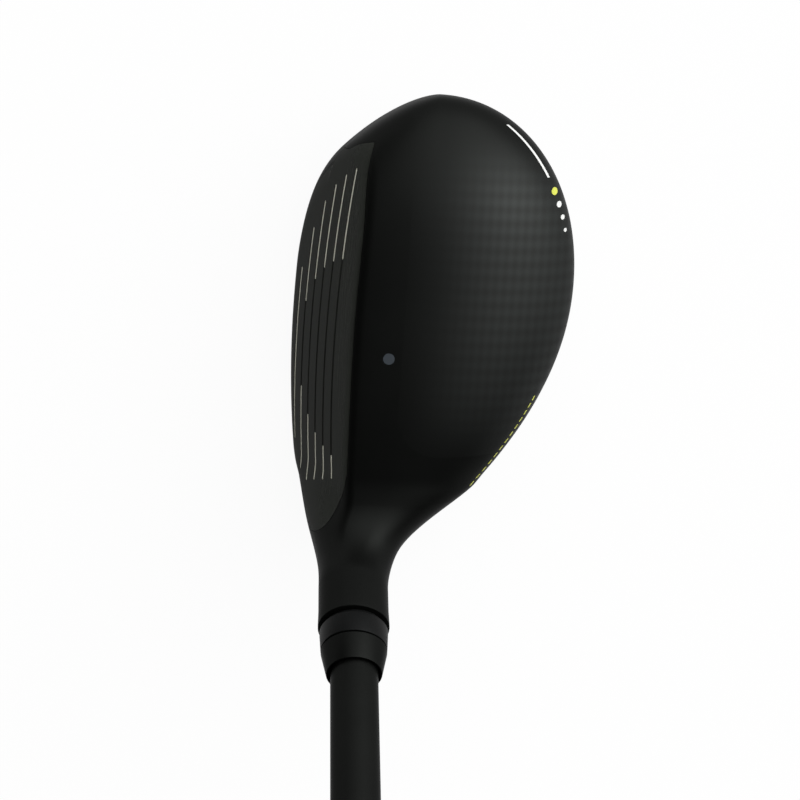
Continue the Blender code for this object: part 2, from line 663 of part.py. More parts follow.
def grip_radius(down):
    """Outer radius at a distance below the cap's end: the cap's swell over an even taper."""
    taper = GRIP_RADIUS + (GRIP_MOUTH_RADIUS - GRIP_RADIUS) * (down / GRIP_LENGTH) ** GRIP_TAPER_POWER
    return taper + (GRIP_CAP_RADIUS - GRIP_RADIUS) * math.exp(-((down / GRIP_CAP_SWELL) ** 2))


rubber = material("black_rubber", (0.015, 0.015, 0.015), 0.75, 0.0)
grip_stations = CHAMFER + (GRIP_LENGTH - 2 * CHAMFER) * np.linspace(0, 1, 13) ** 2
turned("grip", [
    (VENT_RADIUS, BUTT), (grip_radius(0) - 2 * CHAMFER, BUTT),
    *((grip_radius(down), BUTT - down) for down in grip_stations),
    (GRIP_MOUTH_RADIUS - CHAMFER, grip_mouth),
    *((shaft_radius(at) + 2 * TAPE_GAP + TAPE_THICKNESS, at) for at in (grip_mouth, shaft_end + GAP)),
    (VENT_RADIUS, shaft_end + GAP),
], rubber, shaft_frame, hollow=True)


# Steel screws with six-lobed sockets, and what holds the sleeve's screw in its port

def lobed_socket(name, radius, low, high, parent):
    """A lobed socket, as a wave round a circle, between two heights."""
    turn = np.linspace(0, 2 * math.pi, LOBE_STEPS, endpoint=False)
    wave = radius * (1 + SOCKET_WAVE * np.cos(SOCKET_LOBES * turn))
    outline = np.stack([wave * np.cos(turn), wave * np.sin(turn), np.zeros(LOBE_STEPS)], -1)
    return place(name, lofted(name, np.stack([outline + [0, 0, up] for up in (low, high)])), parent=parent)


screw_steel = material("black_oxide_steel", (0.03, 0.03, 0.032), 0.35, 0.9)
stainless = material("stainless_steel", (0.5, 0.5, 0.5), 0.3, 1.0)
nylon = material("black_nylon", (0.02, 0.02, 0.02), 0.5, 0.0)
head_top = SHELF_BOTTOM - WASHER_THICKNESS - 2 * GAP
head_foot = head_top - SCREW_HEAD_LENGTH
hosel_screw = turned("hosel_screw", [
    (0, SCREW_TIP), (SCREW_RADIUS - CHAMFER, SCREW_TIP), (SCREW_RADIUS, SCREW_TIP - CHAMFER),
    (SCREW_RADIUS, head_top), (SCREW_HEAD_RADIUS, head_top), (SCREW_HEAD_RADIUS, head_foot + CHAMFER),
    (SCREW_HEAD_RADIUS - CHAMFER, head_foot), (0, head_foot),
], screw_steel, hosel_frame)
cut(hosel_screw, lobed_socket(
    "screw_socket", SCREW_SOCKET_RADIUS, head_foot - MM, head_foot + SCREW_SOCKET_DEPTH, hosel_frame))
washer_top = SHELF_BOTTOM - GAP
turned("screw_washer", [
    (PORT_RADIUS - 2 * GAP, washer_top), (PORT_RADIUS - 2 * GAP, washer_top - WASHER_THICKNESS),
    (SCREW_RADIUS + GAP, washer_top - WASHER_THICKNESS), (SCREW_RADIUS + GAP, washer_top),
], stainless, hosel_frame, hollow=True)
retainer_top = head_foot - GAP
turned("screw_retainer", [
    (PORT_RADIUS - GAP, retainer_top), (PORT_RADIUS - GAP, retainer_top - RETAINER_THICKNESS),
    (SCREW_HEAD_RADIUS - RETAINER_OVERLAP, retainer_top - RETAINER_THICKNESS),
    (SCREW_HEAD_RADIUS - RETAINER_OVERLAP, retainer_top),
], nylon, hosel_frame, hollow=True)

# Tungsten weight in the sole, with a screw through it into the body's boss

tungsten = material("sintered_tungsten", (0.09, 0.09, 0.095), 0.4, 0.9)
weight_top = WEIGHT_RECESS + WEIGHT_HEIGHT
seat = WEIGHT_RECESS + WEIGHT_SCREW_HEAD_LENGTH + WEIGHT_SCREW_SUNK
turned("sole_weight", [
    (WEIGHT_RADIUS - CHAMFER, weight_top), (WEIGHT_RADIUS, weight_top - CHAMFER),
    (WEIGHT_RADIUS, WEIGHT_RECESS + CHAMFER), (WEIGHT_RADIUS - CHAMFER, WEIGHT_RECESS),
    (WEIGHT_SCREW_HEAD_RADIUS + GAP, WEIGHT_RECESS), (WEIGHT_SCREW_HEAD_RADIUS + GAP, seat),
    (WEIGHT_SCREW_RADIUS + GAP, seat), (WEIGHT_SCREW_RADIUS + GAP, weight_top),
], tungsten, weight_frame, hollow=True)
screw_seat = seat - GAP
screw_foot = screw_seat - WEIGHT_SCREW_HEAD_LENGTH
weight_screw = turned("weight_screw", [
    (0, WEIGHT_SCREW_REACH), (WEIGHT_SCREW_RADIUS - CHAMFER, WEIGHT_SCREW_REACH),
    (WEIGHT_SCREW_RADIUS, WEIGHT_SCREW_REACH - CHAMFER), (WEIGHT_SCREW_RADIUS, screw_seat),
    (WEIGHT_SCREW_HEAD_RADIUS, screw_seat), (WEIGHT_SCREW_HEAD_RADIUS, screw_foot + CHAMFER),
    (WEIGHT_SCREW_HEAD_RADIUS - CHAMFER, screw_foot), (0, screw_foot),
], screw_steel, weight_frame)
cut(weight_screw, lobed_socket(
    "weight_socket", WEIGHT_SOCKET_RADIUS, screw_foot - MM, screw_foot + WEIGHT_SOCKET_DEPTH, weight_frame))

# The cuts become each part's own mesh, so that the edges they leave can be marked sharp

graph = bpy.context.evaluated_depsgraph_get()
for part in [obj for obj in club.objects if obj.modifiers]:
    finished = bpy.data.meshes.new_from_object(part.evaluated_get(graph))
    part.modifiers.clear()
    part.data = finished
    smooth_shaded(finished)
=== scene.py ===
"""Looks of a hybrid golf club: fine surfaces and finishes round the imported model.

The face looks along -X, the toe points along +Y and the shaft rises towards -Y. Sizes are in millimetres, and
become metres where a mesh is made. An x that belongs to the head's form is measured from the shaft's axis.
"""
import json
import math

import bmesh
import bpy
import numpy as np
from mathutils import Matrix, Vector


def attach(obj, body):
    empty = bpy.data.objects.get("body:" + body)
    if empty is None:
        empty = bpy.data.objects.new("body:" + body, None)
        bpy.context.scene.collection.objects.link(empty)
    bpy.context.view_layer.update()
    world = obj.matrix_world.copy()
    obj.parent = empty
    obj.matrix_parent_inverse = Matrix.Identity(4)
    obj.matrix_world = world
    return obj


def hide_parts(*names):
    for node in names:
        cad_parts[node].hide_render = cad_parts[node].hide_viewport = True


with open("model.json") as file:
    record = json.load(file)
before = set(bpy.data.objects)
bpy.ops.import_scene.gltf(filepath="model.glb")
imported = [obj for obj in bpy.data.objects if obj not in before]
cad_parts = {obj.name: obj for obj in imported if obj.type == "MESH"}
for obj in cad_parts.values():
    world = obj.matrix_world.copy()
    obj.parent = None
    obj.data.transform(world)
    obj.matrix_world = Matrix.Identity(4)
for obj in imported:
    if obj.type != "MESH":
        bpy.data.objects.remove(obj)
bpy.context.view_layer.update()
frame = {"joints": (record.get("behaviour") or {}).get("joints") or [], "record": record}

# Head casting
# The sole, skirt, front of the crown and hosel are one stainless steel casting, ground smooth and sprayed
# satin black. It is open at the face, the crown, the hosel's bore and two ports in the sole. Its closed
# hollow is left solid here.

MM = 0.001
joints = {joint["name"]: joint for joint in frame["joints"]}
HOSEL_END = np.array(joints["hosel_screw_turn"]["pos_m"]) / MM
SHAFT_AXIS = np.array(joints["shaft_lift"]["axis"])
SHAFT_X = HOSEL_END[0]
LIE = math.atan2(SHAFT_AXIS[2], -SHAFT_AXIS[1])
LOFT = math.radians(21)

CENTRE_X = 13
BACK_REACH = 30.55
FRONT_REACH = 33.4
TOE_Y = 53.4
WIDE_Y = 15.7
HEEL_CENTRE_SHIFT = 8
SKIRT_Z = 15.5
TOE_TIP_Z = 18.5
CROWN_Z = 36.3
CROWN_PEAK_Y = 4
SOLE_DROP = 0.4
BACK_RADIUS = 51
FRONT_RADIUS = 168
SKIRT_RADIUS = 625
CROWN_RADIUS = 227
SOLE_RADIUS = 278
TOE_BACK_POWER = 2.06
TOE_FRONT_POWER = 1.515
TOE_HEIGHT_POWER = 2.6
CROWN_BACK_POWER = 2.15
CROWN_FRONT_POWER = 2.6
SOLE_BACK_POWER = 2.4
SOLE_FRONT_POWER = 3.0
HEEL_BLEND = 46
HEEL_ROUND = 4
LEVEL_EASE = 12
FACE_X = -17.2
FACE_MID_Z = 18
BULGE_RADIUS = 302
BULGE_Y = 1.1
ROLL_RADIUS = 200
TOPLINE_EDGE = 2
LEADING_EDGE = 4
EDGE_FADE = 8
NECK_END = -10
NECK_BEND = 19
NECK_RATE = 0.8
NECK_START = 0.1
NECK_RISE_RATE = 0.82
NECK_RISE_START = 0.2
NECK_LIFT = 1.2
NECK_LIFT_END = 0.3
HEEL_REACH = 26
HOSEL_RADIUS = 7.05
LEAST_REACH = 0.1
LEAST_SLOPE = 1e-4


def eased(t):
    """A smooth step from 0 to 1: three times the square less twice the cube."""
    t = np.clip(t, 0, 1)
    return t * t * (3 - 2 * t)


def superellipse(t, power):
    """Height of a unit superellipse at a share t of its length."""
    return (1 - np.clip(t, 0, 1) ** power) ** (1 / power)


def rounded_max(reach, at_heel):
    """The greater of a reach and the hosel's: half their sum and the root of their difference squared."""
    ease = HEEL_ROUND * at_heel / HOSEL_RADIUS
    return (reach + at_heel + np.sqrt((reach - at_heel) ** 2 + ease**2)) / 2


def rounded_min(a, b, edge):
    """The lesser of two lengths, less a square of their overlap where they meet, which rounds the edge."""
    overlap = np.clip(edge - np.abs(a - b), 0, None) / edge
    return np.minimum(a, b) - overlap**2 * edge / 4


def round_section(y):
    """Centre of the section at y and its reach to the back, front, top and bottom: superellipses to the toe,
    and circular arcs to the heel that end at the hosel's radius."""
    toeward = (y - WIDE_Y) / (TOE_Y - WIDE_Y)
    heelward = np.clip(WIDE_Y - y, 0, None)
    near_heel = rounded_min(y, WIDE_Y, LEVEL_EASE)
    height = superellipse(toeward, TOE_HEIGHT_POWER)
    to_heel = eased(heelward / HEEL_BLEND)
    x = CENTRE_X - HEEL_CENTRE_SHIFT * to_heel
    z = SKIRT_Z + (TOE_TIP_Z - SKIRT_Z) * np.clip(toeward, 0, 1) ** 2 + heelward**2 / (2 * SKIRT_RADIUS)
    back = CENTRE_X + BACK_REACH * superellipse(toeward, TOE_BACK_POWER) - heelward**2 / (2 * BACK_RADIUS)
    front = CENTRE_X - FRONT_REACH * superellipse(toeward, TOE_FRONT_POWER) + heelward**2 / (2 * FRONT_RADIUS)
    top = CROWN_Z - (near_heel - CROWN_PEAK_Y) ** 2 / (2 * CROWN_RADIUS)
    sole = near_heel**2 / (2 * SOLE_RADIUS) - SOLE_DROP
    at_heel = HOSEL_RADIUS * to_heel
    across = rounded_max(back - x, at_heel), rounded_max(x - front, at_heel)
    upright = (top - z) * height, (z - sole) * height
    return x, z, *(np.maximum(reach, LEAST_REACH) for reach in across + upright)


def round_radius(angle, back, front, top, bottom, roundness=0.0):
    """Superellipse radius at an angle turning from the back over the crown, an ellipse's at roundness 1."""
    across, up = np.cos(angle), np.sin(angle)
    power = np.where(
        up > 0,
        np.where(across > 0, CROWN_BACK_POWER, CROWN_FRONT_POWER),
        np.where(across > 0, SOLE_BACK_POWER, SOLE_FRONT_POWER),
    )
    power = power + (2 - power) * roundness
    wide = np.abs(across) / np.where(across > 0, back, front)
    tall = np.abs(up) / np.where(up > 0, top, bottom)
    return (wide**power + tall**power) ** (-1 / power)


def face_x(y, z):
    """A plane lofted back, plus a parabola of bulge from heel to toe and one of roll up the face."""
    bulge = (y - BULGE_Y) ** 2 / (2 * BULGE_RADIUS)
    roll = (z - FACE_MID_Z) ** 2 / (2 * ROLL_RADIUS)
    return FACE_X + z * math.tan(LOFT) + bulge + roll


def face_radius(angle, x, y, z):
    """Distance from a section's centre to the face at an angle, the root of a quadratic in that distance."""
    across, up = np.cos(angle), np.sin(angle)
    bend = up**2 / (2 * ROLL_RADIUS)
    slope = up * (math.tan(LOFT) + (z - FACE_MID_Z) / ROLL_RADIUS) - across
    depth = x - face_x(y, z)
    return 2 * depth / np.maximum(slope + np.sqrt(slope**2 + 4 * bend * depth), LEAST_SLOPE)


NECK_FOOT = HOSEL_END + SHAFT_AXIS * NECK_END
HEEL_Y = NECK_FOOT[1] + NECK_BEND * math.sin(LIE)
PIVOT_Z = NECK_FOOT[2] + NECK_BEND * math.cos(LIE)


def toward_hosel(y, start, rate):
    """Share of the way into the hosel at y: an eased power of the distance from a start before the fan."""
    way = (HEEL_Y - y) / (HEEL_REACH * LIE)
    return eased(np.clip((way + start) / (1 + start), 0, 1) ** rate)


def head_rings(y, fan, angle, inset=0.0):
    """Rings of the head: upright sections at y, then sections that swing about a pivot over the heel as fan
    goes from 0 to 1, and ease into the hosel's circle and onto its axis. The sides draw in from just before
    the fan, and the crown and sole rise towards the axis sooner."""
    y = np.where(fan > 0, HEEL_Y - HEEL_REACH * fan * LIE, y)[:, None]
    fan = fan[:, None]
    x, z, back, front, top, bottom = round_section(y)
    drawn_in = toward_hosel(y, NECK_START, NECK_RATE)
    risen = toward_hosel(y, NECK_RISE_START, NECK_RISE_RATE)
    into_hosel = drawn_in + (risen - drawn_in) * np.sin(angle) ** 2
    edge = np.where(np.sin(angle) > 0, TOPLINE_EDGE, LEADING_EDGE) * np.minimum(1, front / EDGE_FADE)
    radius = round_radius(angle, back, front, top, bottom, drawn_in)
    face = face_radius(angle, x, y, z) + NECK_LIFT * eased(fan / NECK_LIFT_END)
    radius = rounded_min(radius, face, edge)
    radius = radius + (HOSEL_RADIUS - radius) * into_hosel - inset
    below = (PIVOT_Z - z) * (1 - risen) + NECK_BEND * risen - radius * np.sin(angle)
    swing = fan * LIE
    return np.stack([
        SHAFT_X + x * (1 - drawn_in) + radius * np.cos(angle),
        np.where(fan > 0, HEEL_Y - below * np.sin(swing), y),
        PIVOT_Z - below * np.cos(swing),
    ], -1)


FACE_ANGLES = np.linspace(math.radians(95), math.radians(265), 1701)
LEAST_FACE = 0.3
CROWN_POINTS = 60
FACE_POINTS = 64
SOLE_POINTS = 90


def section_angles(y):
    """Angles of the points of each ring: closest together at the back, the topline and the leading edge. The
    last two are found where the face first and last cuts the round section."""
    x, z, back, front, top, bottom = (v[:, None] for v in round_section(y))
    on_face = face_radius(FACE_ANGLES, x, y[:, None], z) < round_radius(FACE_ANGLES, back, front, top, bottom)
    rows = np.where(on_face.sum(1) > LEAST_FACE * FACE_ANGLES.size, np.arange(len(y)), -1)
    rows = np.maximum(np.maximum.accumulate(rows), rows[rows >= 0][0])
    topline = FACE_ANGLES[on_face.argmax(1)][rows][:, None]
    lead = FACE_ANGLES[::-1][on_face[:, ::-1].argmax(1)][rows][:, None]
    crown = topline * np.sin(np.arange(CROWN_POINTS) / CROWN_POINTS * math.pi / 2)
    face = topline + (lead - topline) * (1 - np.cos(np.arange(FACE_POINTS) / FACE_POINTS * math.pi)) / 2
    sole = lead + (2 * math.pi - lead) * (1 - np.cos(np.arange(SOLE_POINTS) / SOLE_POINTS * math.pi / 2))
    return np.concatenate([crown, face, sole], 1)


WELD = 1e-4


def placed(name, data):
    """A new object of a mesh, a lamp or a camera, in the scene."""
    made = bpy.data.objects.new(name, data)
    bpy.context.scene.collection.objects.link(made)
    return made


def lofted(name, rings, looped=False):
    """Quads from ring to ring, with a cap on each end or, if looped, quads back to the first ring."""
    count, around = rings.shape[:2]
    row = np.arange(count if looped else count - 1)[:, None]
    column = np.arange(around)[None, :]
    after, beside = (row + 1) % count, (column + 1) % around
    corners = [row * around + column, row * around + beside, after * around + beside, after * around + column]
    faces = np.stack(np.broadcast_arrays(*corners), -1).reshape(-1, 4).tolist()
    if not looped:
        faces += [list(range(around)), list(range((count - 1) * around, count * around))]
    mesh = bpy.data.meshes.new(name)
    mesh.from_pydata((rings.reshape(-1, 3) * MM).tolist(), [], faces)
    shape = bmesh.new()
    shape.from_mesh(mesh)
    bmesh.ops.remove_doubles(shape, verts=shape.verts, dist=WELD * MM)
    bmesh.ops.recalc_face_normals(shape, faces=shape.faces)
    shape.to_mesh(mesh)
    shape.free()
    return placed(name, mesh)


HOSEL_LIP = 0.1
HOSEL_LIP_LENGTH = 4
STATIONS = 190
FANS = 90
TOE_CAP = 0.004


def head_form(name, toe_y, heel_y, stations, fans=0, inset=0.0):
    """The whole head, or a smaller one inside it: rings that crowd together at the toe, then up the hosel."""
    share = 1 - np.cos(np.linspace(TOE_CAP, 1, stations) * math.pi / 2)
    y = np.concatenate([toe_y + (heel_y - toe_y) * share, np.full(fans, heel_y)])
    fan = np.concatenate([np.zeros(stations), np.arange(1, fans + 1) / max(fans, 1)])
    rings = head_rings(y, fan, section_angles(y), inset)
    if fans:
        out = rings[-1] - NECK_FOOT
        lip = 1 + HOSEL_LIP / HOSEL_RADIUS
        rise = [(-HOSEL_LIP_LENGTH, 1), (-HOSEL_LIP_LENGTH / 4, lip), (-HOSEL_LIP, lip), (0, 1)]
        hosel = [HOSEL_END + SHAFT_AXIS * up + out * swell for up, swell in rise]
        rings = np.concatenate([rings, np.stack(hosel)])
    return lofted(name, rings)


def spokes(axis, steps):
    """Angles all round an axis, and unit vectors square to it at those angles."""
    turn = np.linspace(0, 2 * math.pi, steps, endpoint=False)[:, None]
    side = np.cross(np.cross(axis, (1, 0, 0)), axis)
    side = side / np.linalg.norm(side)
    return turn[:, 0], np.cos(turn) * side + np.sin(turn) * np.cross(axis, side)


def turned(name, profile, origin, axis, hollow=False, steps=128):
    """A surface of revolution: each (radius, distance along the axis) of the profile becomes a circle."""
    radius, along = np.array(profile, float).T[:, :, None, None]
    return lofted(name, origin + along * axis + radius * spokes(axis, steps)[1], looped=hollow)


def carved(piece, *cuts):
    """The piece after a Boolean with each (operation, cutter)."""
    for operation, cutter in cuts:
        boolean = piece.modifiers.new(cutter.name, "BOOLEAN")
        boolean.operation = operation
        boolean.solver = "MANIFOLD"
        boolean.object = cutter
    graph = bpy.context.evaluated_depsgraph_get()
    mesh = bpy.data.meshes.new_from_object(piece.evaluated_get(graph))
    piece.modifiers.clear()
    piece.data = mesh
    return piece


def finished(piece, material, body, slot, *nodes, sharp=40):
    """A piece shaded smooth up to its sharp edges, with its material, on its body, in place of CAD nodes."""
    piece.data.shade_smooth()
    piece.data.set_sharp_from_angle(angle=math.radians(sharp))
    piece.data.materials.clear()
    piece.data.materials.append(material)
    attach(piece, body)
    if nodes:
        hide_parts(*nodes)


def linear(colour):
    """An sRGB hex colour as linear red, green, blue and alpha."""
    srgb = np.array([int(colour[i:i + 2], 16) for i in (1, 3, 5)]) / 255
    return (*np.where(srgb > 0.04045, ((srgb + 0.055) / 1.055) ** 2.4, srgb / 12.92), 1)


def add(tree, kind, inputs=None, **settings):
    """Adds a node with its settings. An input takes a value, or the output of another node as a link."""
    made = tree.nodes.new("ShaderNode" + kind)
    for key, value in settings.items():
        setattr(made, key, value)
    for key, value in (inputs or {}).items():
        if isinstance(value, bpy.types.NodeSocket):
            tree.links.new(value, made.inputs[key])
        else:
            made.inputs[key].default_value = value
    return made


def surfaced(name, **constants):
    """A new Principled material with constants on its shader's sockets, its node tree and its coordinates."""
    made = bpy.data.materials.new(name)
    made.use_nodes = True
    tree = made.node_tree
    for key, value in constants.items():
        tree.nodes["Principled BSDF"].inputs[key.replace("_", " ")].default_value = value
    return made, tree, add(tree, "TexCoord").outputs["Object"]


def shaded(tree, colour, rough=None, bump=None):
    """Links the first output of nodes of colour, roughness and bump to the shader's sockets for them."""
    sockets = tree.nodes["Principled BSDF"].inputs
    for node, key in ((colour, "Base Color"), (rough, "Roughness"), (bump, "Normal")):
        if node:
            tree.links.new(node.outputs[0], sockets[key])


FLAKE = 0.8
CLOUD_GRAINS = 40
PAINT_SPREAD = 0.06
PAINT_SHEEN = {"Specular_IOR_Level": 0.12, "Specular_Tint": linear("#b4b4b4")}


def satin_paint(name, dark, light, roughness, flake, grain_mm):
    """Satin black with some metal flake, and a dry grain that spreads its highlights unevenly. The grain is
    drawn coarser than a sprayed one, so that it shows."""
    made, tree, place = surfaced(name, Metallic=flake, **PAINT_SHEEN)
    grain = add(tree, "TexNoise", {"Vector": place, "Scale": 1 / (grain_mm * MM), "Detail": 3.0})
    cloud_mm = CLOUD_GRAINS * grain_mm
    cloud = add(tree, "TexNoise", {"Vector": place, "Scale": 1 / (cloud_mm * MM), "Detail": 2.0})
    colour = add(tree, "MixRGB", {
        "Fac": cloud.outputs["Fac"], "Color1": linear(dark), "Color2": linear(light)})
    rough = add(tree, "MapRange", {
        "Value": grain.outputs["Fac"],
        "To Min": roughness - PAINT_SPREAD, "To Max": roughness + PAINT_SPREAD})
    bump = add(tree, "Bump", {"Height": grain.outputs["Fac"], "Strength": 0.25, "Distance": 0.02 * MM})
    shaded(tree, colour, rough, bump)
    return made


BEYOND = 60
CLEAR = 10
FACE_SKIN = 0.35
FACE_TOE_SKIN = 2.0
FACE_TOE_FROM_Y = 28
FACE_SEAM = 0.1
FACE_TOE_Y = 43.8
FACE_TOE_Z = 30
FACE_TOE_RADIUS = 14
FACE_LOW_TOE_Y = 41.4
FACE_HEEL_X = -22
FACE_HEEL_Y = -24
FACE_HEEL_RADIUS = 19.5
FACE_FROM_Z = -8
FACE_TO_Z = 42
FACE_STEPS = 90
CROWN_FRONT_X = 7
CROWN_HEEL_Y = -19
CROWN_SEAM_Z = 19
CROWN_CORNER = 9
CROWN_CORNER_STEPS = 24
CROWN_THICKNESS = 1.1
CROWN_OVERLAP = 4
CAVITY_TOE_Y = 49.5
CAVITY_STATIONS = 90
BORE_RADIUS = 5.8
BORE_END = -21.3
STEM_BORE_RADIUS = 4.5
SHELF_TOP = -31.5
SHELF_BOTTOM = -36
KEYS = 8
KEY_WIDTH = 1.1
KEY_LENGTH = 7.5
KEY_TIP_RADIUS = 3.75
KEY_DEPTH = 3
KEY_SINK = 1
SCREW_HOLE_RADIUS = 2.95
PORT_RADIUS = 5.2
WEIGHT_MOUTH = np.array(joints["weight_screw_turn"]["pos_m"]) / MM
WEIGHT_UP = -np.array(joints["weight_lift"]["axis"])
WEIGHT_PORT_RADIUS = 7.8
WEIGHT_PORT_DEPTH = 5.9
WEIGHT_HOLE_RADIUS = 2.15
WEIGHT_HOLE_DEPTH = 14


def prism(name, x, y, low, high):
    """An upright prism on an outline of x and y, between two heights."""
    return lofted(name, np.stack([np.stack([x, y, np.full_like(x, z)], -1) for z in (low, high)]))


def face_zone(name, seam):
    """What lies in front of the back of the face's skin: rows of points along the face's own formula, moved
    back by a depth that grows as a fourth power to the toe, and again far in front. A parabola over a
    straight line ends it at the toe, and an upright prism with a half circle at the heel."""
    z = np.linspace(FACE_FROM_Z, FACE_TO_Z, FACE_STEPS)[:, None]
    toe = np.maximum(FACE_TOE_Y - (z - FACE_TOE_Z) ** 2 / (2 * FACE_TOE_RADIUS), FACE_LOW_TOE_Y) + seam
    y = -BEYOND + (toe + BEYOND) * np.linspace(0, 1, FACE_STEPS)[None, :]
    toeward = np.clip((y - FACE_TOE_FROM_Y) / (FACE_TOE_Y - FACE_TOE_FROM_Y), 0, 1)
    skin = FACE_SKIN + FACE_TOE_SKIN * toeward**4
    back = SHAFT_X + face_x(y, z) + (skin + seam) / math.cos(LOFT)
    front = np.full_like(y, SHAFT_X + FACE_X - CLEAR)
    z = np.broadcast_to(z, y.shape)
    rows = np.concatenate([np.stack([front, y, z], -1), np.stack([back, y, z], -1)[:, ::-1]], 1)
    turn = np.linspace(math.pi, 2 * math.pi, FACE_STEPS)
    radius = FACE_HEEL_RADIUS + seam
    heel_x = SHAFT_X + FACE_HEEL_X + radius * np.cos(turn)
    heel_y = FACE_HEEL_Y + radius * np.sin(turn)
    heel = prism(
        name + "_heel", np.concatenate([heel_x, [BEYOND, BEYOND, heel_x[0]]]),
        np.concatenate([heel_y, [FACE_HEEL_Y, BEYOND, BEYOND]]), -CLEAR, BEYOND)
    cutters.append(heel)
    return carved(lofted(name, rows), ("INTERSECT", heel))


def crown_zone(name):
    """The space of the crown's shell: a block with one rounded corner over the seam, less the head inset by
    the shell's thickness."""
    turn = np.linspace(0, math.pi / 2, CROWN_CORNER_STEPS)
    corner_x = SHAFT_X + CROWN_FRONT_X + CROWN_CORNER * (1 - np.cos(turn))
    corner_y = CROWN_HEEL_Y + CROWN_CORNER * (1 - np.sin(turn))
    x = np.concatenate([[SHAFT_X + CROWN_FRONT_X], corner_x, [BEYOND, BEYOND]])
    y = np.concatenate([[BEYOND], corner_y, [CROWN_HEEL_Y, BEYOND]])
    block = prism(name, x, y, CROWN_SEAM_Z, BEYOND)
    inner = head_form(
        "crown_inside", CAVITY_TOE_Y, CROWN_HEEL_Y - CROWN_OVERLAP, CAVITY_STATIONS, inset=CROWN_THICKNESS)
    cutters.append(inner)
    return carved(block, ("DIFFERENCE", inner))


def keys(name, width, tip, top):
    """Cuts by blocks round the foot of the bore, one on each spoke: a rectangle from a tip radius outwards,
    drawn from under the shelf to a top."""
    blocks = []
    for count, out in enumerate(spokes(SHAFT_AXIS, KEYS)[1]):
        side = np.cross(SHAFT_AXIS, out) * width / 2
        inner, outer = out * tip, out * (tip + KEY_DEPTH)
        corner = HOSEL_END + np.stack([inner - side, outer - side, outer + side, inner + side])
        ends = [corner + SHAFT_AXIS * up for up in (SHELF_TOP - KEY_SINK, top)]
        blocks.append(lofted(f"{name}_{count}", np.stack(ends)))
    cutters.extend(blocks)
    return [("DIFFERENCE", block) for block in blocks]


cutters = []
head_casting = head_form("head_casting", TOE_Y, HEEL_Y, STATIONS, FANS)
uncut_head = head_casting.data
face_room = face_zone("face_room", FACE_SEAM)
crown_room = crown_zone("crown_room")
hosel_bore = turned("hosel_bore", [
    (0, CLEAR), (BORE_RADIUS, CLEAR), (BORE_RADIUS, BORE_END), (STEM_BORE_RADIUS, BORE_END),
    (STEM_BORE_RADIUS, SHELF_TOP), (SCREW_HOLE_RADIUS, SHELF_TOP), (SCREW_HOLE_RADIUS, SHELF_BOTTOM),
    (PORT_RADIUS, SHELF_BOTTOM), (PORT_RADIUS, -BEYOND - CLEAR), (0, -BEYOND - CLEAR),
], HOSEL_END, SHAFT_AXIS)
carved(hosel_bore, *keys("bore_key", KEY_WIDTH, KEY_TIP_RADIUS, SHELF_TOP + KEY_LENGTH))
weight_port = turned("weight_port", [
    (0, WEIGHT_HOLE_DEPTH), (WEIGHT_HOLE_RADIUS, WEIGHT_HOLE_DEPTH), (WEIGHT_HOLE_RADIUS, WEIGHT_PORT_DEPTH),
    (WEIGHT_PORT_RADIUS, WEIGHT_PORT_DEPTH), (WEIGHT_PORT_RADIUS, -CLEAR), (0, -CLEAR),
], WEIGHT_MOUTH, WEIGHT_UP)
square = BEYOND * np.array([(-1, -1), (1, -1), (1, 1), (-1, 1.0)])
ground = prism("ground", *square.T, -CLEAR, 0)
cut_away = [face_room, crown_room, hosel_bore, weight_port, ground]
cutters += cut_away
carved(head_casting, *(("DIFFERENCE", cutter) for cutter in cut_away))
casting_paint = satin_paint("satin_black_sprayed_steel", "#151615", "#1a1b1a", 0.46, FLAKE, 0.3)
finished(head_casting, casting_paint, "head", "cast_steel", "head_body")


# Face plate
# A forged maraging steel plate, welded into the front of the casting. It is milled from heel to toe and
# blackened, and cut with score lines whose ends are filled with cream paint.

SCORE_LINES = 6
SCORE_LOW_Z = 9.2
SCORE_PITCH_Z = 3.7
SCORE_WIDTH = 0.8
SCORE_DEPTH = 0.35
SCORE_TAPER = 0.7
SCORE_TOE_Y = 38.3
SCORE_TOE_SLANT = 0.44
SCORE_TOE_CURVE = 20.5
SCORE_HEEL_Y = -29.5
SCORE_HEEL_Z = 16.5
SCORE_HEEL_HEIGHT = 11
SCORE_HEEL_SLANT = 0.3
SCORE_CLEAR = 1
SCORE_ROWS = 90
SCORE_LEAST_END = 0.01
BARE_RADIUS = 20.8
BARE_Y = -0.7
BARE_Z = 31.6
PAINT_DEPTH = 0.08
PAINT_SINK = 0.05
PAINT_MARGIN = 0.02
STREAK_WIDTH = 0.25
STREAK_LENGTH = 14
HALVINGS = 40


def score_ends(z):
    """Ends of the score line at z: at the toe a slant and a cube of the depth under the top line, and at the
    heel an ellipse below and a slant above."""
    under = SCORE_LOW_Z + (SCORE_LINES - 1) * SCORE_PITCH_Z - z
    toe = SCORE_TOE_Y - SCORE_TOE_SLANT * under - under * (under / SCORE_TOE_CURVE) ** 2
    low = max(SCORE_HEEL_Z - z, 0) / SCORE_HEEL_HEIGHT
    return SCORE_HEEL_Y * math.sqrt(1 - low**2) + SCORE_HEEL_SLANT * max(z - SCORE_HEEL_Z, 0), toe


def on_section(y, angle, lift):
    """Points of the head's upright sections at y, at an angle from the back, moved out by a lift."""
    lift = np.broadcast_to(lift, y.shape).reshape(-1, 1)
    return head_rings(y.ravel(), np.zeros(y.size), angle.reshape(-1, 1), -lift).reshape(*y.shape, 3)


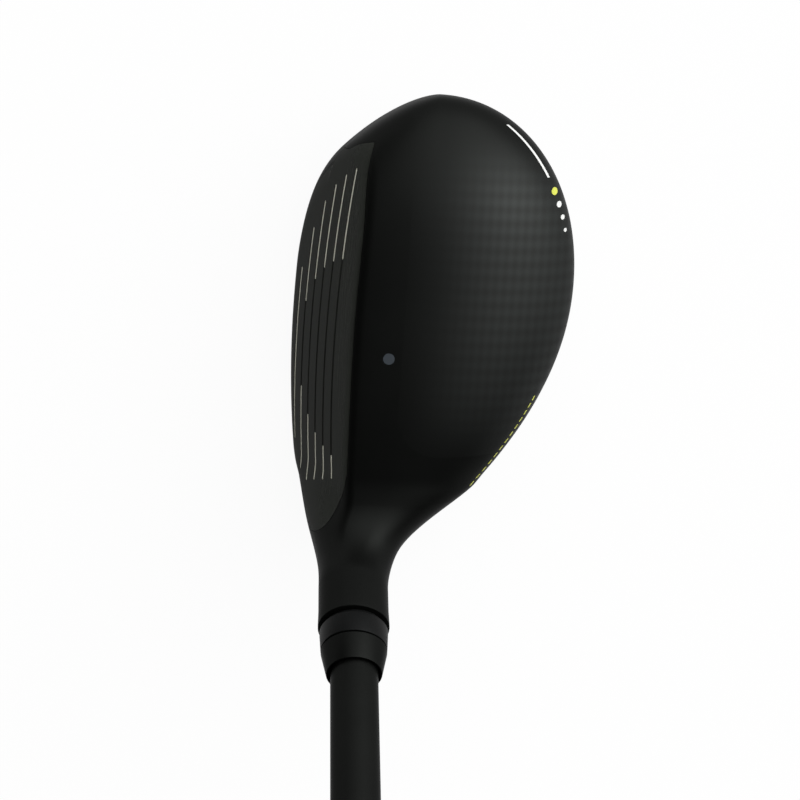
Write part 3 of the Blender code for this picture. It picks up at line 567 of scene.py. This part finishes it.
def front_x(y, z):
    """The x of the head's front at y and z, with the section's angle found by halving."""
    above, below = np.full_like(y, math.pi / 2), np.full_like(y, 3 * math.pi / 2)
    for _ in range(HALVINGS):
        middle = (above + below) / 2
        over = on_section(y, middle, 0)[..., 2] > z
        above, below = np.where(over, middle, above), np.where(over, below, middle)
    return on_section(y, above, 0)[..., 0]


def along_face(name, spans, over, under, width):
    """Bars that follow the front of the head, one for each (heel end, toe end, height): a trapezium between
    two depths, narrowed as a half circle at each end."""
    made = bmesh.new()
    for heel, toe, z in spans:
        y = heel + (toe - heel) * eased(np.linspace(0, 1, SCORE_ROWS))
        from_end = np.minimum(y - heel, toe - y) / (width / 2)
        half = width / 2 * np.sqrt(np.clip(1 - np.clip(1 - from_end, 0, 1) ** 2, SCORE_LEAST_END, 1))
        corners = []
        for depth, share in ((over, 1), (over, -1), (under, -SCORE_TAPER), (under, SCORE_TAPER)):
            up = z + share * half
            corners.append(np.stack([front_x(y, up) + depth, y, up], -1))
        bar = lofted(name, np.stack(corners, 1))
        made.from_mesh(bar.data)
        bpy.data.objects.remove(bar)
    mesh = bpy.data.meshes.new(name)
    made.to_mesh(mesh)
    made.free()
    return placed(name, mesh)


def painted_spans(z):
    """Where a score line holds paint: all of it, or what lies outside a bare circle on the face."""
    heel, toe = score_ends(z)
    bare = BARE_RADIUS**2 - (BARE_Z - z) ** 2
    if bare < 0:
        return [(heel, toe, z)]
    return [(heel, BARE_Y - math.sqrt(bare), z), (BARE_Y + math.sqrt(bare), toe, z)]


def milled_steel(name):
    """Steel milled along the face and blackened: grey in the light, with streaks from heel to toe. They are
    drawn wider than a cutter leaves them, so that they show."""
    made, tree, place = surfaced(name, Metallic=0.75, Specular_Tint=linear("#808080"))
    across, along = 1 / (STREAK_WIDTH * MM), 1 / (STREAK_LENGTH * MM)
    streaks = add(tree, "Mapping", {"Vector": place, "Scale": (across, along, across)})
    streak = add(tree, "TexNoise", {"Vector": streaks.outputs["Vector"], "Scale": 1.0, "Detail": 4.0})
    colour = add(tree, "MixRGB", {
        "Fac": streak.outputs["Fac"], "Color1": linear("#1b1d1a"), "Color2": linear("#3a3c38")})
    rough = add(tree, "MapRange", {"Value": streak.outputs["Fac"], "To Min": 0.38, "To Max": 0.56})
    bump = add(tree, "Bump", {"Height": streak.outputs["Fac"], "Strength": 0.3, "Distance": 0.03 * MM})
    shaded(tree, colour, rough, bump)
    return made


def enamel(name, dark, light):
    """Enamel, filled or printed: flat, and slightly uneven in colour as it settled."""
    made, tree, place = surfaced(name, Roughness=0.5)
    mottle = add(tree, "TexNoise", {"Vector": place, "Scale": 1 / (0.8 * MM), "Detail": 2.0})
    colour = add(tree, "MixRGB", {
        "Fac": mottle.outputs["Fac"], "Color1": linear(dark), "Color2": linear(light)})
    shaded(tree, colour)
    return made


score_heights = [SCORE_LOW_Z + line * SCORE_PITCH_Z for line in range(SCORE_LINES)]
score_cutter = along_face(
    "score_cutter", [(*score_ends(z), z) for z in score_heights], -SCORE_CLEAR, SCORE_DEPTH, SCORE_WIDTH)
face_front = face_zone("face_front", 0)
cutters += [score_cutter, face_front]
face_plate = placed("face_plate_milled", uncut_head.copy())
carved(face_plate, ("INTERSECT", face_front), ("DIFFERENCE", score_cutter))
finished(face_plate, milled_steel("milled_black_steel"), "head", "face_steel", "face_plate")
score_paint = along_face(
    "score_line_paint", [span for z in score_heights for span in painted_spans(z)],
    PAINT_DEPTH, SCORE_DEPTH + PAINT_SINK, SCORE_WIDTH - PAINT_MARGIN)
finished(score_paint, enamel("cream_enamel", "#c9c8b6", "#dad9c8"), "head", "face_steel")


# Crown
# A shell of carbon composite about a millimetre thick, glued to a ledge round the opening in the casting and
# sprayed satin black with it, so that the joint is hidden. The weave is drawn only over the rear middle of
# the crown, and the lighter colour it is drawn in there is a painted highlight.

WARP_PITCH = 1.9
WEFT_PITCH = 2.75
WEFT_SHARE = 1.5
# Where the weave and its painted highlight fade in: from the front, the heel and the toe.
WEAVE_HIGHLIGHT_FROM_X = -8
WEAVE_HIGHLIGHT_TO_X = 16
WEAVE_HIGHLIGHT_FROM_HEEL_Y = -24
WEAVE_HIGHLIGHT_TO_HEEL_Y = -4
WEAVE_HIGHLIGHT_FROM_TOE_Y = 48
WEAVE_HIGHLIGHT_TO_TOE_Y = 32


def carbon_paint(name):
    """Woven carbon under satin paint: a sine across the warp and a stronger one across the weft. Smooth steps
    from the front, heel and toe let the weave, and a lighter colour that is a painted highlight, show only
    over the rear middle of the crown."""
    made, tree, place = surfaced(name, Metallic=FLAKE, **PAINT_SHEEN)
    axes = add(tree, "SeparateXYZ", {"Vector": place}).outputs
    waves = []
    for axis, pitch in (("X", WARP_PITCH), ("Y", WEFT_PITCH)):
        phase = add(tree, "Math", {0: axes[axis], 1: 2 * math.pi / (pitch * MM)}, operation="MULTIPLY")
        waves.append(add(tree, "Math", {0: phase.outputs[0]}, operation="SINE").outputs[0])
    check = add(tree, "Math", {0: waves[1], 1: WEFT_SHARE, 2: waves[0]}, operation="MULTIPLY_ADD")
    # A mask of the weave and of its painted highlight: the product of three smooth steps.
    weave_and_highlight = 1.0
    for axis, start, end in (
        ("X", WEAVE_HIGHLIGHT_FROM_X, WEAVE_HIGHLIGHT_TO_X),
        ("Y", WEAVE_HIGHLIGHT_FROM_HEEL_Y, WEAVE_HIGHLIGHT_TO_HEEL_Y),
        ("Y", WEAVE_HIGHLIGHT_FROM_TOE_Y, WEAVE_HIGHLIGHT_TO_TOE_Y),
    ):
        step = add(tree, "MapRange", {
            "Value": axes[axis], "From Min": start * MM, "From Max": end * MM,
        }, interpolation_type="SMOOTHSTEP")
        weave_and_highlight = add(tree, "Math", {0: weave_and_highlight, 1: step.outputs["Result"]}, operation="MULTIPLY").outputs[0]
    weave = add(tree, "Math", {0: check.outputs[0], 1: weave_and_highlight}, operation="MULTIPLY")
    share = add(tree, "MapRange", {
        "Value": weave.outputs[0], "From Min": -1 - WEFT_SHARE, "From Max": 1 + WEFT_SHARE})
    fibre = add(tree, "MixRGB", {
        "Fac": share.outputs["Result"], "Color1": linear("#2a2b2a"), "Color2": linear("#303231")})
    grain = add(tree, "TexNoise", {"Vector": place, "Scale": 1 / (0.3 * MM), "Detail": 3.0})
    # The front, heel and toe keep the darker paint; the lighter fibre colour over the rear middle is a
    # painted highlight.
    colour = add(tree, "MixRGB", {
        "Fac": weave_and_highlight, "Color1": linear("#181918"), "Color2": fibre.outputs["Color"]})
    rough = add(tree, "MapRange", {"Value": share.outputs["Result"], "To Min": 0.48, "To Max": 0.44})
    height = add(tree, "Math", {0: grain.outputs["Fac"], 1: share.outputs["Result"]}, operation="ADD")
    bump = add(tree, "Bump", {"Height": height.outputs[0], "Strength": 0.25, "Distance": 0.02 * MM})
    shaded(tree, colour, rough, bump)
    return made


crown_shell = placed("carbon_crown", uncut_head.copy())
carved(crown_shell, ("INTERSECT", crown_room))
finished(crown_shell, carbon_paint("painted_carbon_composite"), "head", "carbon_crown", "crown_shell")


# Marks on the crown
# A grey alignment dot over the middle of the face, a white line along the rear edge at the toe that ends in a
# row of dots, and a row of dashes towards the heel. They are pad printed in enamel, a few hundredths of a
# millimetre thick.

PRINT_THICKNESS = 0.03
PRINT_SINK = 0.1
PRINT_LIMIT = math.radians(150)
DOT_X = 4.4
DOT_Y = 1.3
DOT_RADIUS = 1.15
DOT_STEPS = 72
EDGE_INSET = 2.4
LINE_FROM_Y = 48.6
LINE_TO_Y = 38.5
LINE_WIDTH = 0.55
LINE_ROWS = 40
ROW_FROM_Y = 35.8
ROW_PITCH = 2.6
ROW_RADII = (0.75, 0.62, 0.5, 0.38)
DASH_FROM_Y = -26.5
DASH_PITCH = 1.55
DASH_LENGTH = 0.95
DASH_WIDTH = 0.32
DASHES = 13


def on_crown(x, y, lift):
    """Points of the crown over x and y, moved out by a lift, with the section's angle found by halving."""
    low, high = np.zeros_like(y), np.full_like(y, PRINT_LIMIT)
    for _ in range(HALVINGS):
        middle = (low + high) / 2
        behind = on_section(y, middle, 0)[..., 0] > x
        low, high = np.where(behind, middle, low), np.where(behind, high, middle)
    return on_section(y, low, lift)


def printed_dot(name, x, y, radius, material):
    """A disc that follows the crown: circles from the middle to the rim over it, and back under it."""
    turn = np.linspace(0, 2 * math.pi, DOT_STEPS, endpoint=False)
    reach = radius * np.array([[0], [1], [1], [0.0]])
    lift = np.array([[PRINT_THICKNESS], [PRINT_THICKNESS], [-PRINT_SINK], [-PRINT_SINK]])
    dot = lofted(name, on_crown(x + reach * np.cos(turn), y + reach * np.sin(turn), lift))
    finished(dot, material, "head", "carbon_crown")


def rear_edge(y):
    """The x of the rear edge's print at y: the head's outline, less an inset."""
    y = np.asarray(y, float)
    return on_section(y, np.zeros_like(y), 0)[..., 0] - EDGE_INSET


def printed_line(name, start, end, width, material):
    """A strip that follows the rear edge from one y to another, a flat band over and under the surface."""
    y = np.broadcast_to(np.linspace(start, end, LINE_ROWS)[:, None], (LINE_ROWS, 4))
    x = rear_edge(y) + width * np.array([-0.5, 0.5, 0.5, -0.5])
    lift = np.array([PRINT_THICKNESS, PRINT_THICKNESS, -PRINT_SINK, -PRINT_SINK])
    finished(lofted(name, on_crown(x, y, lift)), material, "head", "carbon_crown")


white_enamel = enamel("white_enamel", "#b9bab8", "#cfd0ce")
yellow_enamel = enamel("yellow_enamel", "#a9ad2f", "#bcc040")
grey_enamel = enamel("grey_enamel", "#282f35", "#2c333a")
printed_dot("alignment_dot", SHAFT_X + DOT_X, DOT_Y, DOT_RADIUS, grey_enamel)
printed_line("toe_line", LINE_FROM_Y, LINE_TO_Y, LINE_WIDTH, white_enamel)
for count, radius in enumerate(ROW_RADII):
    y = ROW_FROM_Y - ROW_PITCH * count
    printed_dot(f"toe_dot_{count}", rear_edge([y])[0], y, radius, white_enamel if count else yellow_enamel)
for count in range(DASHES):
    y = DASH_FROM_Y + DASH_PITCH * count
    printed_line(f"heel_dash_{count}", y, y + DASH_LENGTH, DASH_WIDTH, yellow_enamel)


# Sleeve
# A turned aluminium sleeve, anodised charcoal. Its collar sits on the hosel's end over a dark undercut, and
# its barrel and keyed stem go down into the bore.

COLLAR_START = 1.2
COLLAR_END = 5.9
COLLAR_RADIUS = 6.85
COLLAR_TOP_RADIUS = 6.6
UNDERCUT_RADIUS = 6.3
SPIGOT_RADIUS = 5.4
SPIGOT_LENGTH = 1.3
SHAFT_BORE = 5.0
SHAFT_SEAT = -19
SLEEVE_VENT_RADIUS = 0.8
SLEEVE_VENT_END = -20.9
THREAD_BORE = 2.65
THREAD_END = -21.5
STEM_END = -31
GAP = 0.3
TURNED_EDGE = 0.2
FILLET_STEPS = 5
FILLET_MOST = 0.45


def filleted(profile, size, closed=True):
    """The profile with each corner replaced by a quadratic curve that starts and ends a size away from it."""
    corner = np.array(profile, float)
    ends = []
    for neighbour in (np.roll(corner, 1, 0), np.roll(corner, -1, 0)):
        step = neighbour - corner
        share = np.minimum(size / np.linalg.norm(step, axis=1, keepdims=True), FILLET_MOST)
        ends.append(corner + step * share)
    if not closed:
        ends[0][[0, -1]] = ends[1][[0, -1]] = corner[[0, -1]]
    t = np.linspace(0, 1, FILLET_STEPS)[None, :, None]
    curve = (1 - t) ** 2 * ends[0][:, None] + 2 * t * (1 - t) * corner[:, None] + t**2 * ends[1][:, None]
    return curve.reshape(-1, 2)


def satin_metal(name, dark, light, roughness, metallic, grain_mm):
    """Turned metal, blasted and coated: satin, with a faint grain that is drawn coarse enough to show."""
    made, tree, place = surfaced(name, Metallic=metallic, Specular_Tint=linear("#808080"))
    grain = add(tree, "TexNoise", {"Vector": place, "Scale": 1 / (grain_mm * MM), "Detail": 3.0})
    colour = add(tree, "MixRGB", {
        "Fac": grain.outputs["Fac"], "Color1": linear(dark), "Color2": linear(light)})
    rough = add(tree, "MapRange", {
        "Value": grain.outputs["Fac"], "To Min": roughness - 0.05, "To Max": roughness + 0.05})
    bump = add(tree, "Bump", {"Height": grain.outputs["Fac"], "Strength": 0.2, "Distance": 0.015 * MM})
    shaded(tree, colour, rough, bump)
    return made


sleeve = turned("sleeve", filleted([
    (SPIGOT_RADIUS, COLLAR_END + SPIGOT_LENGTH), (SPIGOT_RADIUS, COLLAR_END), (COLLAR_TOP_RADIUS, COLLAR_END),
    (COLLAR_RADIUS, COLLAR_START), (UNDERCUT_RADIUS, COLLAR_START), (UNDERCUT_RADIUS, GAP),
    (BORE_RADIUS - GAP, GAP), (BORE_RADIUS - GAP, BORE_END + GAP), (STEM_BORE_RADIUS - GAP, BORE_END + GAP),
    (STEM_BORE_RADIUS - GAP, STEM_END), (THREAD_BORE, STEM_END), (THREAD_BORE, THREAD_END),
    (SLEEVE_VENT_RADIUS, SLEEVE_VENT_END), (SLEEVE_VENT_RADIUS, SHAFT_SEAT), (SHAFT_BORE, SHAFT_SEAT),
    (SHAFT_BORE, COLLAR_END + SPIGOT_LENGTH),
], TURNED_EDGE), HOSEL_END, SHAFT_AXIS, hollow=True)
carved(sleeve, *keys("keyway", KEY_WIDTH + 2 * GAP, KEY_TIP_RADIUS - GAP, SHELF_TOP + KEY_LENGTH + GAP))
finished(
    sleeve, satin_metal("anodised_charcoal_aluminium", "#0c0d0d", "#111212", 0.42, 0.6, 0.12),
    "shaft_assembly", "sleeve_aluminium", "adapter_sleeve")


# Ferrule
# A moulded plastic cone, glued over the sleeve's spigot and turned flush with its collar. Its end is
# hollowed to a thin lip, which leaves a dark ring round the shaft.

FERRULE_START = 6.2
FERRULE_END = 11.8
FERRULE_RADIUS = 6.6
FERRULE_TIP_RADIUS = 5.5
FERRULE_LIP = 0.25
FERRULE_RECESS = 1.2

recess = FERRULE_END - FERRULE_RECESS
ferrule = turned("ferrule_cone", filleted([
    (FERRULE_TIP_RADIUS, FERRULE_END), (FERRULE_RADIUS, FERRULE_START), (SPIGOT_RADIUS + GAP, FERRULE_START),
    (SPIGOT_RADIUS + GAP, FERRULE_START + SPIGOT_LENGTH), (SHAFT_BORE, FERRULE_START + SPIGOT_LENGTH),
    (SHAFT_BORE, recess), (FERRULE_TIP_RADIUS - FERRULE_LIP, recess),
    (FERRULE_TIP_RADIUS - FERRULE_LIP, FERRULE_END),
], TURNED_EDGE), HOSEL_END, SHAFT_AXIS, hollow=True)
finished(
    ferrule, satin_paint("satin_charcoal_abs", "#131413", "#171817", 0.42, FLAKE, 0.25),
    "shaft_assembly", "ferrule_plastic", "ferrule")


# Shaft
# A tube of wrapped graphite, parallel at the tip and tapered to the butt, sprayed satin black. Its tip is
# glued into the sleeve.

SHAFT_TIP = -18.7
SHAFT_TIP_RADIUS = 4.7
SHAFT_BUTT_RADIUS = 7.62
SHAFT_PARALLEL = 60
SHAFT_WALL = 1.2
SHAFT_RINGS = 30
BUTT_RING = 40
GRIP_CAP = 5
mounts = {mount["name"]: mount for mount in frame["record"]["mounts"]}
BUTT = float((np.array(mounts["butt_cap"]["pos_m"]) / MM - HOSEL_END) @ SHAFT_AXIS)
SHAFT_END = BUTT - GRIP_CAP


def shaft_radius(along):
    """Radius of the shaft: the tip's, then a straight taper to the butt's."""
    share = np.clip((along - SHAFT_PARALLEL) / (SHAFT_END - SHAFT_PARALLEL), 0, 1)
    return SHAFT_TIP_RADIUS + (SHAFT_BUTT_RADIUS - SHAFT_TIP_RADIUS) * share


tapered = np.linspace(SHAFT_END - BUTT_RING, SHAFT_PARALLEL, SHAFT_RINGS)
along = np.concatenate([[SHAFT_END], tapered, [SHAFT_TIP]])
outside = np.stack([shaft_radius(along), along], -1)
inside = outside - [SHAFT_WALL, 0]
shaft = turned(
    "graphite_shaft", np.concatenate([outside, inside[::-1]]), HOSEL_END, SHAFT_AXIS, hollow=True)
finished(
    shaft, satin_paint("satin_black_graphite", "#151615", "#1a1b1a", 0.44, FLAKE, 0.3),
    "shaft_assembly", "graphite", "shaft")


# Grip
# A moulded rubber sleeve that swells to a cap with a vent, slid over a layer of cotton tape. Fine grooves
# cross over it in diamonds, between plain bands at the cap and the mouth.

GRIP_LENGTH = 270
GRIP_CAP_RADIUS = 13.4
GRIP_CAP_SWELL = 9
GRIP_CAP_EDGE = 0.8
GRIP_RADIUS = 11.7
GRIP_MOUTH_RADIUS = 8.6
GRIP_TAPER_POWER = 0.85
GRIP_EDGE = 0.4
GRIP_STEPS = 200
VENT_RADIUS = 1.2
TAPE_THICKNESS = 0.3
TAPE_GAP = 0.15
GROOVES = 18
GROOVE_RISE = 13
GROOVE_DEPTH = 0.4
GROOVE_WIDTH = 0.2
GROOVE_FADE = 2
GROOVED_ROWS = 380
PLAIN_CAP = 16
PLAIN_CAP_ROWS = 24
PLAIN_MOUTH = 14

# The skin's radius falls as a power of the way down and swells at the cap as a bell curve. Two sets of
# helices, one of each hand, sink into it as smooth grooves that fade out at the plain bands.
down = np.concatenate([
    np.linspace(GRIP_EDGE, PLAIN_CAP, PLAIN_CAP_ROWS),
    np.linspace(PLAIN_CAP, GRIP_LENGTH - GRIP_EDGE, GROOVED_ROWS)[1:],
])[:, None]
turn, spoke = spokes(SHAFT_AXIS, GRIP_STEPS)
skin = GRIP_RADIUS + (GRIP_MOUTH_RADIUS - GRIP_RADIUS) * (down / GRIP_LENGTH) ** GRIP_TAPER_POWER
skin = skin + (GRIP_CAP_RADIUS - GRIP_RADIUS) * np.exp(-((down / GRIP_CAP_SWELL) ** 2))
groove = 0
for hand in (1, -1):
    phase = (turn / (2 * math.pi) + hand * down / (GROOVE_RISE * GROOVES)) * GROOVES
    groove = np.maximum(groove, 1 - eased(np.abs(phase - np.round(phase)) / GROOVE_WIDTH))
band = eased((down - PLAIN_CAP) / GROOVE_FADE) * eased((GRIP_LENGTH - PLAIN_MOUTH - down) / GROOVE_FADE)
skin = skin - GROOVE_DEPTH * groove * band
mouth = BUTT - GRIP_LENGTH
under_grip = 2 * TAPE_GAP + TAPE_THICKNESS
plain = np.array([
    (GRIP_MOUTH_RADIUS - GRIP_EDGE, mouth), (shaft_radius(mouth) + under_grip, mouth),
    (shaft_radius(SHAFT_END) + under_grip, SHAFT_END + GAP), (VENT_RADIUS, SHAFT_END + GAP),
    (VENT_RADIUS, BUTT), (GRIP_CAP_RADIUS - GRIP_CAP_EDGE, BUTT),
])
radius = np.concatenate([skin, np.broadcast_to(plain[:, :1], (len(plain), turn.size))])
height = np.concatenate([BUTT - down, plain[:, 1:]])
rings = HOSEL_END + height[..., None] * SHAFT_AXIS + radius[..., None] * spoke
grip = lofted("rubber_grip", rings, looped=True)


def rubber(name):
    """Moulded rubber: black and dull, dusted grey in patches, with a grain drawn coarse enough to show."""
    made, tree, place = surfaced(name, Specular_IOR_Level=0.3)
    grain = add(tree, "TexNoise", {"Vector": place, "Scale": 1 / (0.4 * MM), "Detail": 4.0})
    cloud = add(tree, "TexNoise", {"Vector": place, "Scale": 1 / (18 * MM), "Detail": 2.0})
    colour = add(tree, "MixRGB", {
        "Fac": cloud.outputs["Fac"], "Color1": linear("#141414"), "Color2": linear("#1d1d1d")})
    rough = add(tree, "MapRange", {"Value": grain.outputs["Fac"], "To Min": 0.6, "To Max": 0.85})
    bump = add(tree, "Bump", {"Height": grain.outputs["Fac"], "Strength": 0.4, "Distance": 0.05 * MM})
    shaded(tree, colour, rough, bump)
    return made


finished(grip, rubber("moulded_black_rubber"), "shaft_assembly", "grip_rubber", "grip", sharp=60)


# Grip tape
# Double-sided cotton tape, wound once round the shaft's butt under the grip. It ends a little short of the
# grip's mouth.

TAPE_SHORT = 12


def cotton(name):
    """Cotton tape: an off-white cloth, mottled as by an uneven weave that is drawn coarser than its own."""
    made, tree, place = surfaced(name, Roughness=0.9)
    weave = add(tree, "TexNoise", {"Vector": place, "Scale": 1 / (0.5 * MM), "Detail": 4.0})
    colour = add(tree, "MixRGB", {
        "Fac": weave.outputs["Fac"], "Color1": linear("#b9b3a4"), "Color2": linear("#ded9cc")})
    shaded(tree, colour)
    return made


tape_ends = np.array([SHAFT_END, mouth + TAPE_SHORT])
tape = np.stack([shaft_radius(tape_ends) + TAPE_GAP, tape_ends], -1)
tape_profile = np.concatenate([tape + [TAPE_THICKNESS, 0], tape[::-1]])
grip_tape = turned("cotton_tape", tape_profile, HOSEL_END, SHAFT_AXIS, hollow=True)
finished(grip_tape, cotton("white_cotton_tape"), "shaft_assembly", "tape", "grip_tape")


# Hosel screw
# A black steel screw up through the sole, which pulls the sleeve down into the hosel. Its head has a lobed
# socket, sits on a plain steel washer, and is kept in its port by a nylon ring.

SCREW_RADIUS = 2.35
SCREW_TIP = -22.5
SCREW_HEAD_TOP = -37.6
SCREW_HEAD_FOOT = -42.2
SCREW_HEAD_RADIUS = 4.2
SCREW_HEAD_EDGE = 0.4
SCREW_SEAT_WIDTH = 1
SCREW_PITCH = 0.8
SCREW_STEPS = 96
THREAD_DEPTH = 0.4
THREAD_ROWS = 170
SOCKET_RADIUS = 2.1
SOCKET_DEPTH = 2.6
SOCKET_LOBES = 6
SOCKET_WAVE = 0.11
SOCKET_CLEAR = 1
WASHER_TOP = -36.3
WASHER_THICKNESS = 1.0
RETAINER_TOP = -42.5
RETAINER_THICKNESS = 1.5
RETAINER_BORE = 3.2
RING_EDGE = 0.15


def threaded_screw(name, tip, seat, foot, radius, pitch, head, socket, depth, origin, axis):
    """A screw turned about an axis, with its tip highest: a shank whose radius falls and rises along a helix,
    a head with rounded edges, and a socket that is a circle with a wave round it."""
    turn, spoke = spokes(axis, SCREW_STEPS)
    along = np.linspace(tip, seat, THREAD_ROWS)[:, None]
    fade = eased((tip - along) / pitch) * eased((along - seat) / pitch)
    wave = 0.5 + 0.5 * np.cos(2 * math.pi * along / pitch - turn)
    shank = radius - THREAD_DEPTH * (1 - fade + fade * wave)
    profile = [(head - SCREW_SEAT_WIDTH, seat), (head, seat), (head, foot), (0, foot)]
    end = filleted(profile, SCREW_HEAD_EDGE, closed=False)
    end_reach = np.broadcast_to(end[:, :1], (len(end), turn.size))
    reach = np.concatenate([np.zeros((1, turn.size)), shank, end_reach])
    height = np.concatenate([[[tip]], along, end[:, 1:]])
    screw = lofted(name, origin + height[..., None] * axis + reach[..., None] * spoke)
    lobes = socket * (1 + SOCKET_WAVE * np.cos(SOCKET_LOBES * turn))[:, None] * spoke
    socket_ends = [origin + up * axis + lobes for up in (foot - SOCKET_CLEAR, foot + depth)]
    cutter = lofted(name + "_socket", np.stack(socket_ends))
    cutters.append(cutter)
    return carved(screw, ("DIFFERENCE", cutter))


screw_steel = satin_metal("black_oxide_steel", "#2b2b2d", "#38383b", 0.36, 0.9, 0.2)
hosel_screw = threaded_screw(
    "hosel_screw_turned", SCREW_TIP, SCREW_HEAD_TOP, SCREW_HEAD_FOOT, SCREW_RADIUS, SCREW_PITCH,
    SCREW_HEAD_RADIUS, SOCKET_RADIUS, SOCKET_DEPTH, HOSEL_END, SHAFT_AXIS)
finished(hosel_screw, screw_steel, "hosel_screw", "screw_steel", "hosel_screw")


def flat_ring(name, top, thickness, bore, outside):
    """A flat ring on the shaft's axis, with rounded edges."""
    foot = top - thickness
    edge = filleted([(outside, top), (outside, foot), (bore, foot), (bore, top)], RING_EDGE)
    return turned(name, edge, HOSEL_END, SHAFT_AXIS, hollow=True)


washer = flat_ring("steel_washer", WASHER_TOP, WASHER_THICKNESS, SCREW_RADIUS + GAP, PORT_RADIUS - 2 * GAP)
finished(
    washer, satin_metal("stainless_steel", "#9a9b9c", "#b2b3b4", 0.3, 1.0, 0.2),
    "head", "washer_steel", "screw_washer")
retainer = flat_ring("nylon_retainer", RETAINER_TOP, RETAINER_THICKNESS, RETAINER_BORE, PORT_RADIUS - GAP)
finished(
    retainer, satin_paint("black_nylon", "#141415", "#1a1a1b", 0.5, 0.0, 0.4),
    "head", "nylon", "screw_retainer")


# Sole weight
# A disc of sintered tungsten, turned to fit a port in the sole. A steel screw through its middle holds it in
# the casting.

WEIGHT_RADIUS = 7.5
WEIGHT_FOOT = 0.4
WEIGHT_TOP = 5.6
WEIGHT_SEAT = 3.8
WEIGHT_BORE = 3.7
WEIGHT_EDGE = 0.4
WEIGHT_SCREW_RADIUS = 1.85
WEIGHT_SCREW_PITCH = 0.7
WEIGHT_SCREW_HEAD_RADIUS = 3.4
WEIGHT_SCREW_SEAT = 3.5
WEIGHT_SCREW_FOOT = 1.1
WEIGHT_SCREW_TIP = 13
WEIGHT_SOCKET_RADIUS = 1.7
WEIGHT_SOCKET_DEPTH = 1.5

weight = turned("tungsten_weight", filleted([
    (WEIGHT_RADIUS, WEIGHT_TOP), (WEIGHT_RADIUS, WEIGHT_FOOT), (WEIGHT_BORE, WEIGHT_FOOT),
    (WEIGHT_BORE, WEIGHT_SEAT), (WEIGHT_HOLE_RADIUS, WEIGHT_SEAT), (WEIGHT_HOLE_RADIUS, WEIGHT_TOP),
], WEIGHT_EDGE), WEIGHT_MOUTH, WEIGHT_UP, hollow=True)
finished(
    weight, satin_metal("sintered_tungsten", "#4d4d50", "#5e5e61", 0.4, 0.9, 0.15),
    "sole_weight", "weight_metal", "sole_weight")
weight_screw = threaded_screw(
    "weight_screw_turned", WEIGHT_SCREW_TIP, WEIGHT_SCREW_SEAT, WEIGHT_SCREW_FOOT, WEIGHT_SCREW_RADIUS,
    WEIGHT_SCREW_PITCH, WEIGHT_SCREW_HEAD_RADIUS, WEIGHT_SOCKET_RADIUS, WEIGHT_SOCKET_DEPTH,
    WEIGHT_MOUTH, WEIGHT_UP)
finished(weight_screw, screw_steel, "weight_screw", "screw_steel", "weight_screw")


# Stage
# A white floor, and a studio that is bright beyond the toe and rear and dark over the heel, so that black
# paint shades across the crown. A soft lamp behind the head lights its rear edge, and the camera looks down
# at it.

FLOOR_HALF = 12000
FLOOR_WHITE = 0.94
BRIGHT_SIDE = (0.55, 0.7, 0.455)
DARK_UNTIL = 0.33
BRIGHT_FROM = 0.92
DARK_GLOW = 0.05
BRIGHT_GLOW = 2.7
LAMP_AT = (600, 640, 500)
LAMP_AIM = (0, 0, 20)
LAMP_SIZE = 900
LAMP_WATTS = 4
CAMERA_AT = (-40.2, 79.3, 448.9)
CAMERA_TURN = (-12.07, -4.07, 3.96)
CAMERA_LENS = 94.5
CAMERA_SENSOR = 36
CAMERA_NEAREST = 10

corner = np.array([(-1, -1, 0), (1, -1, 0), (1, 1, 0), (-1, 1, 0)]) * FLOOR_HALF * MM
floor_mesh = bpy.data.meshes.new("floor")
floor_mesh.from_pydata(corner.tolist(), [], [(0, 1, 2, 3)])
floor = placed("floor", floor_mesh)
floor_paint = bpy.data.materials.new("white_floor")
floor_paint.use_nodes = True
tree = floor_paint.node_tree
rays = add(tree, "LightPath").outputs
mirrored = add(tree, "Math", {0: rays["Is Glossy Ray"], 1: rays["Is Transmission Ray"]}, operation="MAXIMUM")
seen = add(tree, "Math", {0: rays["Is Camera Ray"], 1: mirrored.outputs[0]}, operation="MAXIMUM")
share = add(tree, "Math", {0: seen.outputs[0], 1: FLOOR_WHITE}, operation="MULTIPLY")
diffuse = add(tree, "BsdfDiffuse", {"Color": linear("#f4f4f4")})
white = add(tree, "Emission", {"Color": linear("#ffffff"), "Strength": 1.0})
mixed = add(tree, "MixShader", {0: share.outputs[0], 1: diffuse.outputs[0], 2: white.outputs[0]})
tree.links.new(mixed.outputs[0], tree.nodes["Material Output"].inputs["Surface"])
floor_mesh.materials.append(floor_paint)

world = bpy.data.worlds.new("studio")
bpy.context.scene.world = world
world.use_nodes = True
tree = world.node_tree
outward = add(tree, "TexCoord").outputs["Generated"]
toward = add(tree, "VectorMath", {0: outward, 1: BRIGHT_SIDE}, operation="DOT_PRODUCT")
glow = add(tree, "MapRange", {
    "Value": toward.outputs["Value"], "From Min": DARK_UNTIL, "From Max": BRIGHT_FROM,
    "To Min": DARK_GLOW, "To Max": BRIGHT_GLOW})
tree.links.new(glow.outputs["Result"], tree.nodes["Background"].inputs["Strength"])
tree.nodes["Background"].inputs["Color"].default_value = linear("#ffffff")

light = bpy.data.lights.new("rear_softbox", "AREA")
light.size = LAMP_SIZE * MM
light.energy = LAMP_WATTS
softbox = placed("rear_softbox", light)
softbox.location = np.array(LAMP_AT) * MM
softbox.rotation_euler = (Vector(LAMP_AT) - Vector(LAMP_AIM)).to_track_quat("Z", "Y").to_euler()

camera_data = bpy.data.cameras.new("camera")
camera_data.lens = CAMERA_LENS
camera_data.sensor_width = CAMERA_SENSOR
camera_data.clip_start = CAMERA_NEAREST * MM
camera = placed("camera", camera_data)
camera.location = np.array(CAMERA_AT) * MM
camera.rotation_euler = np.radians(CAMERA_TURN)
bpy.context.scene.camera = camera
bpy.context.scene.view_settings.view_transform = "Standard"

for cutter in cutters:
    bpy.data.objects.remove(cutter)
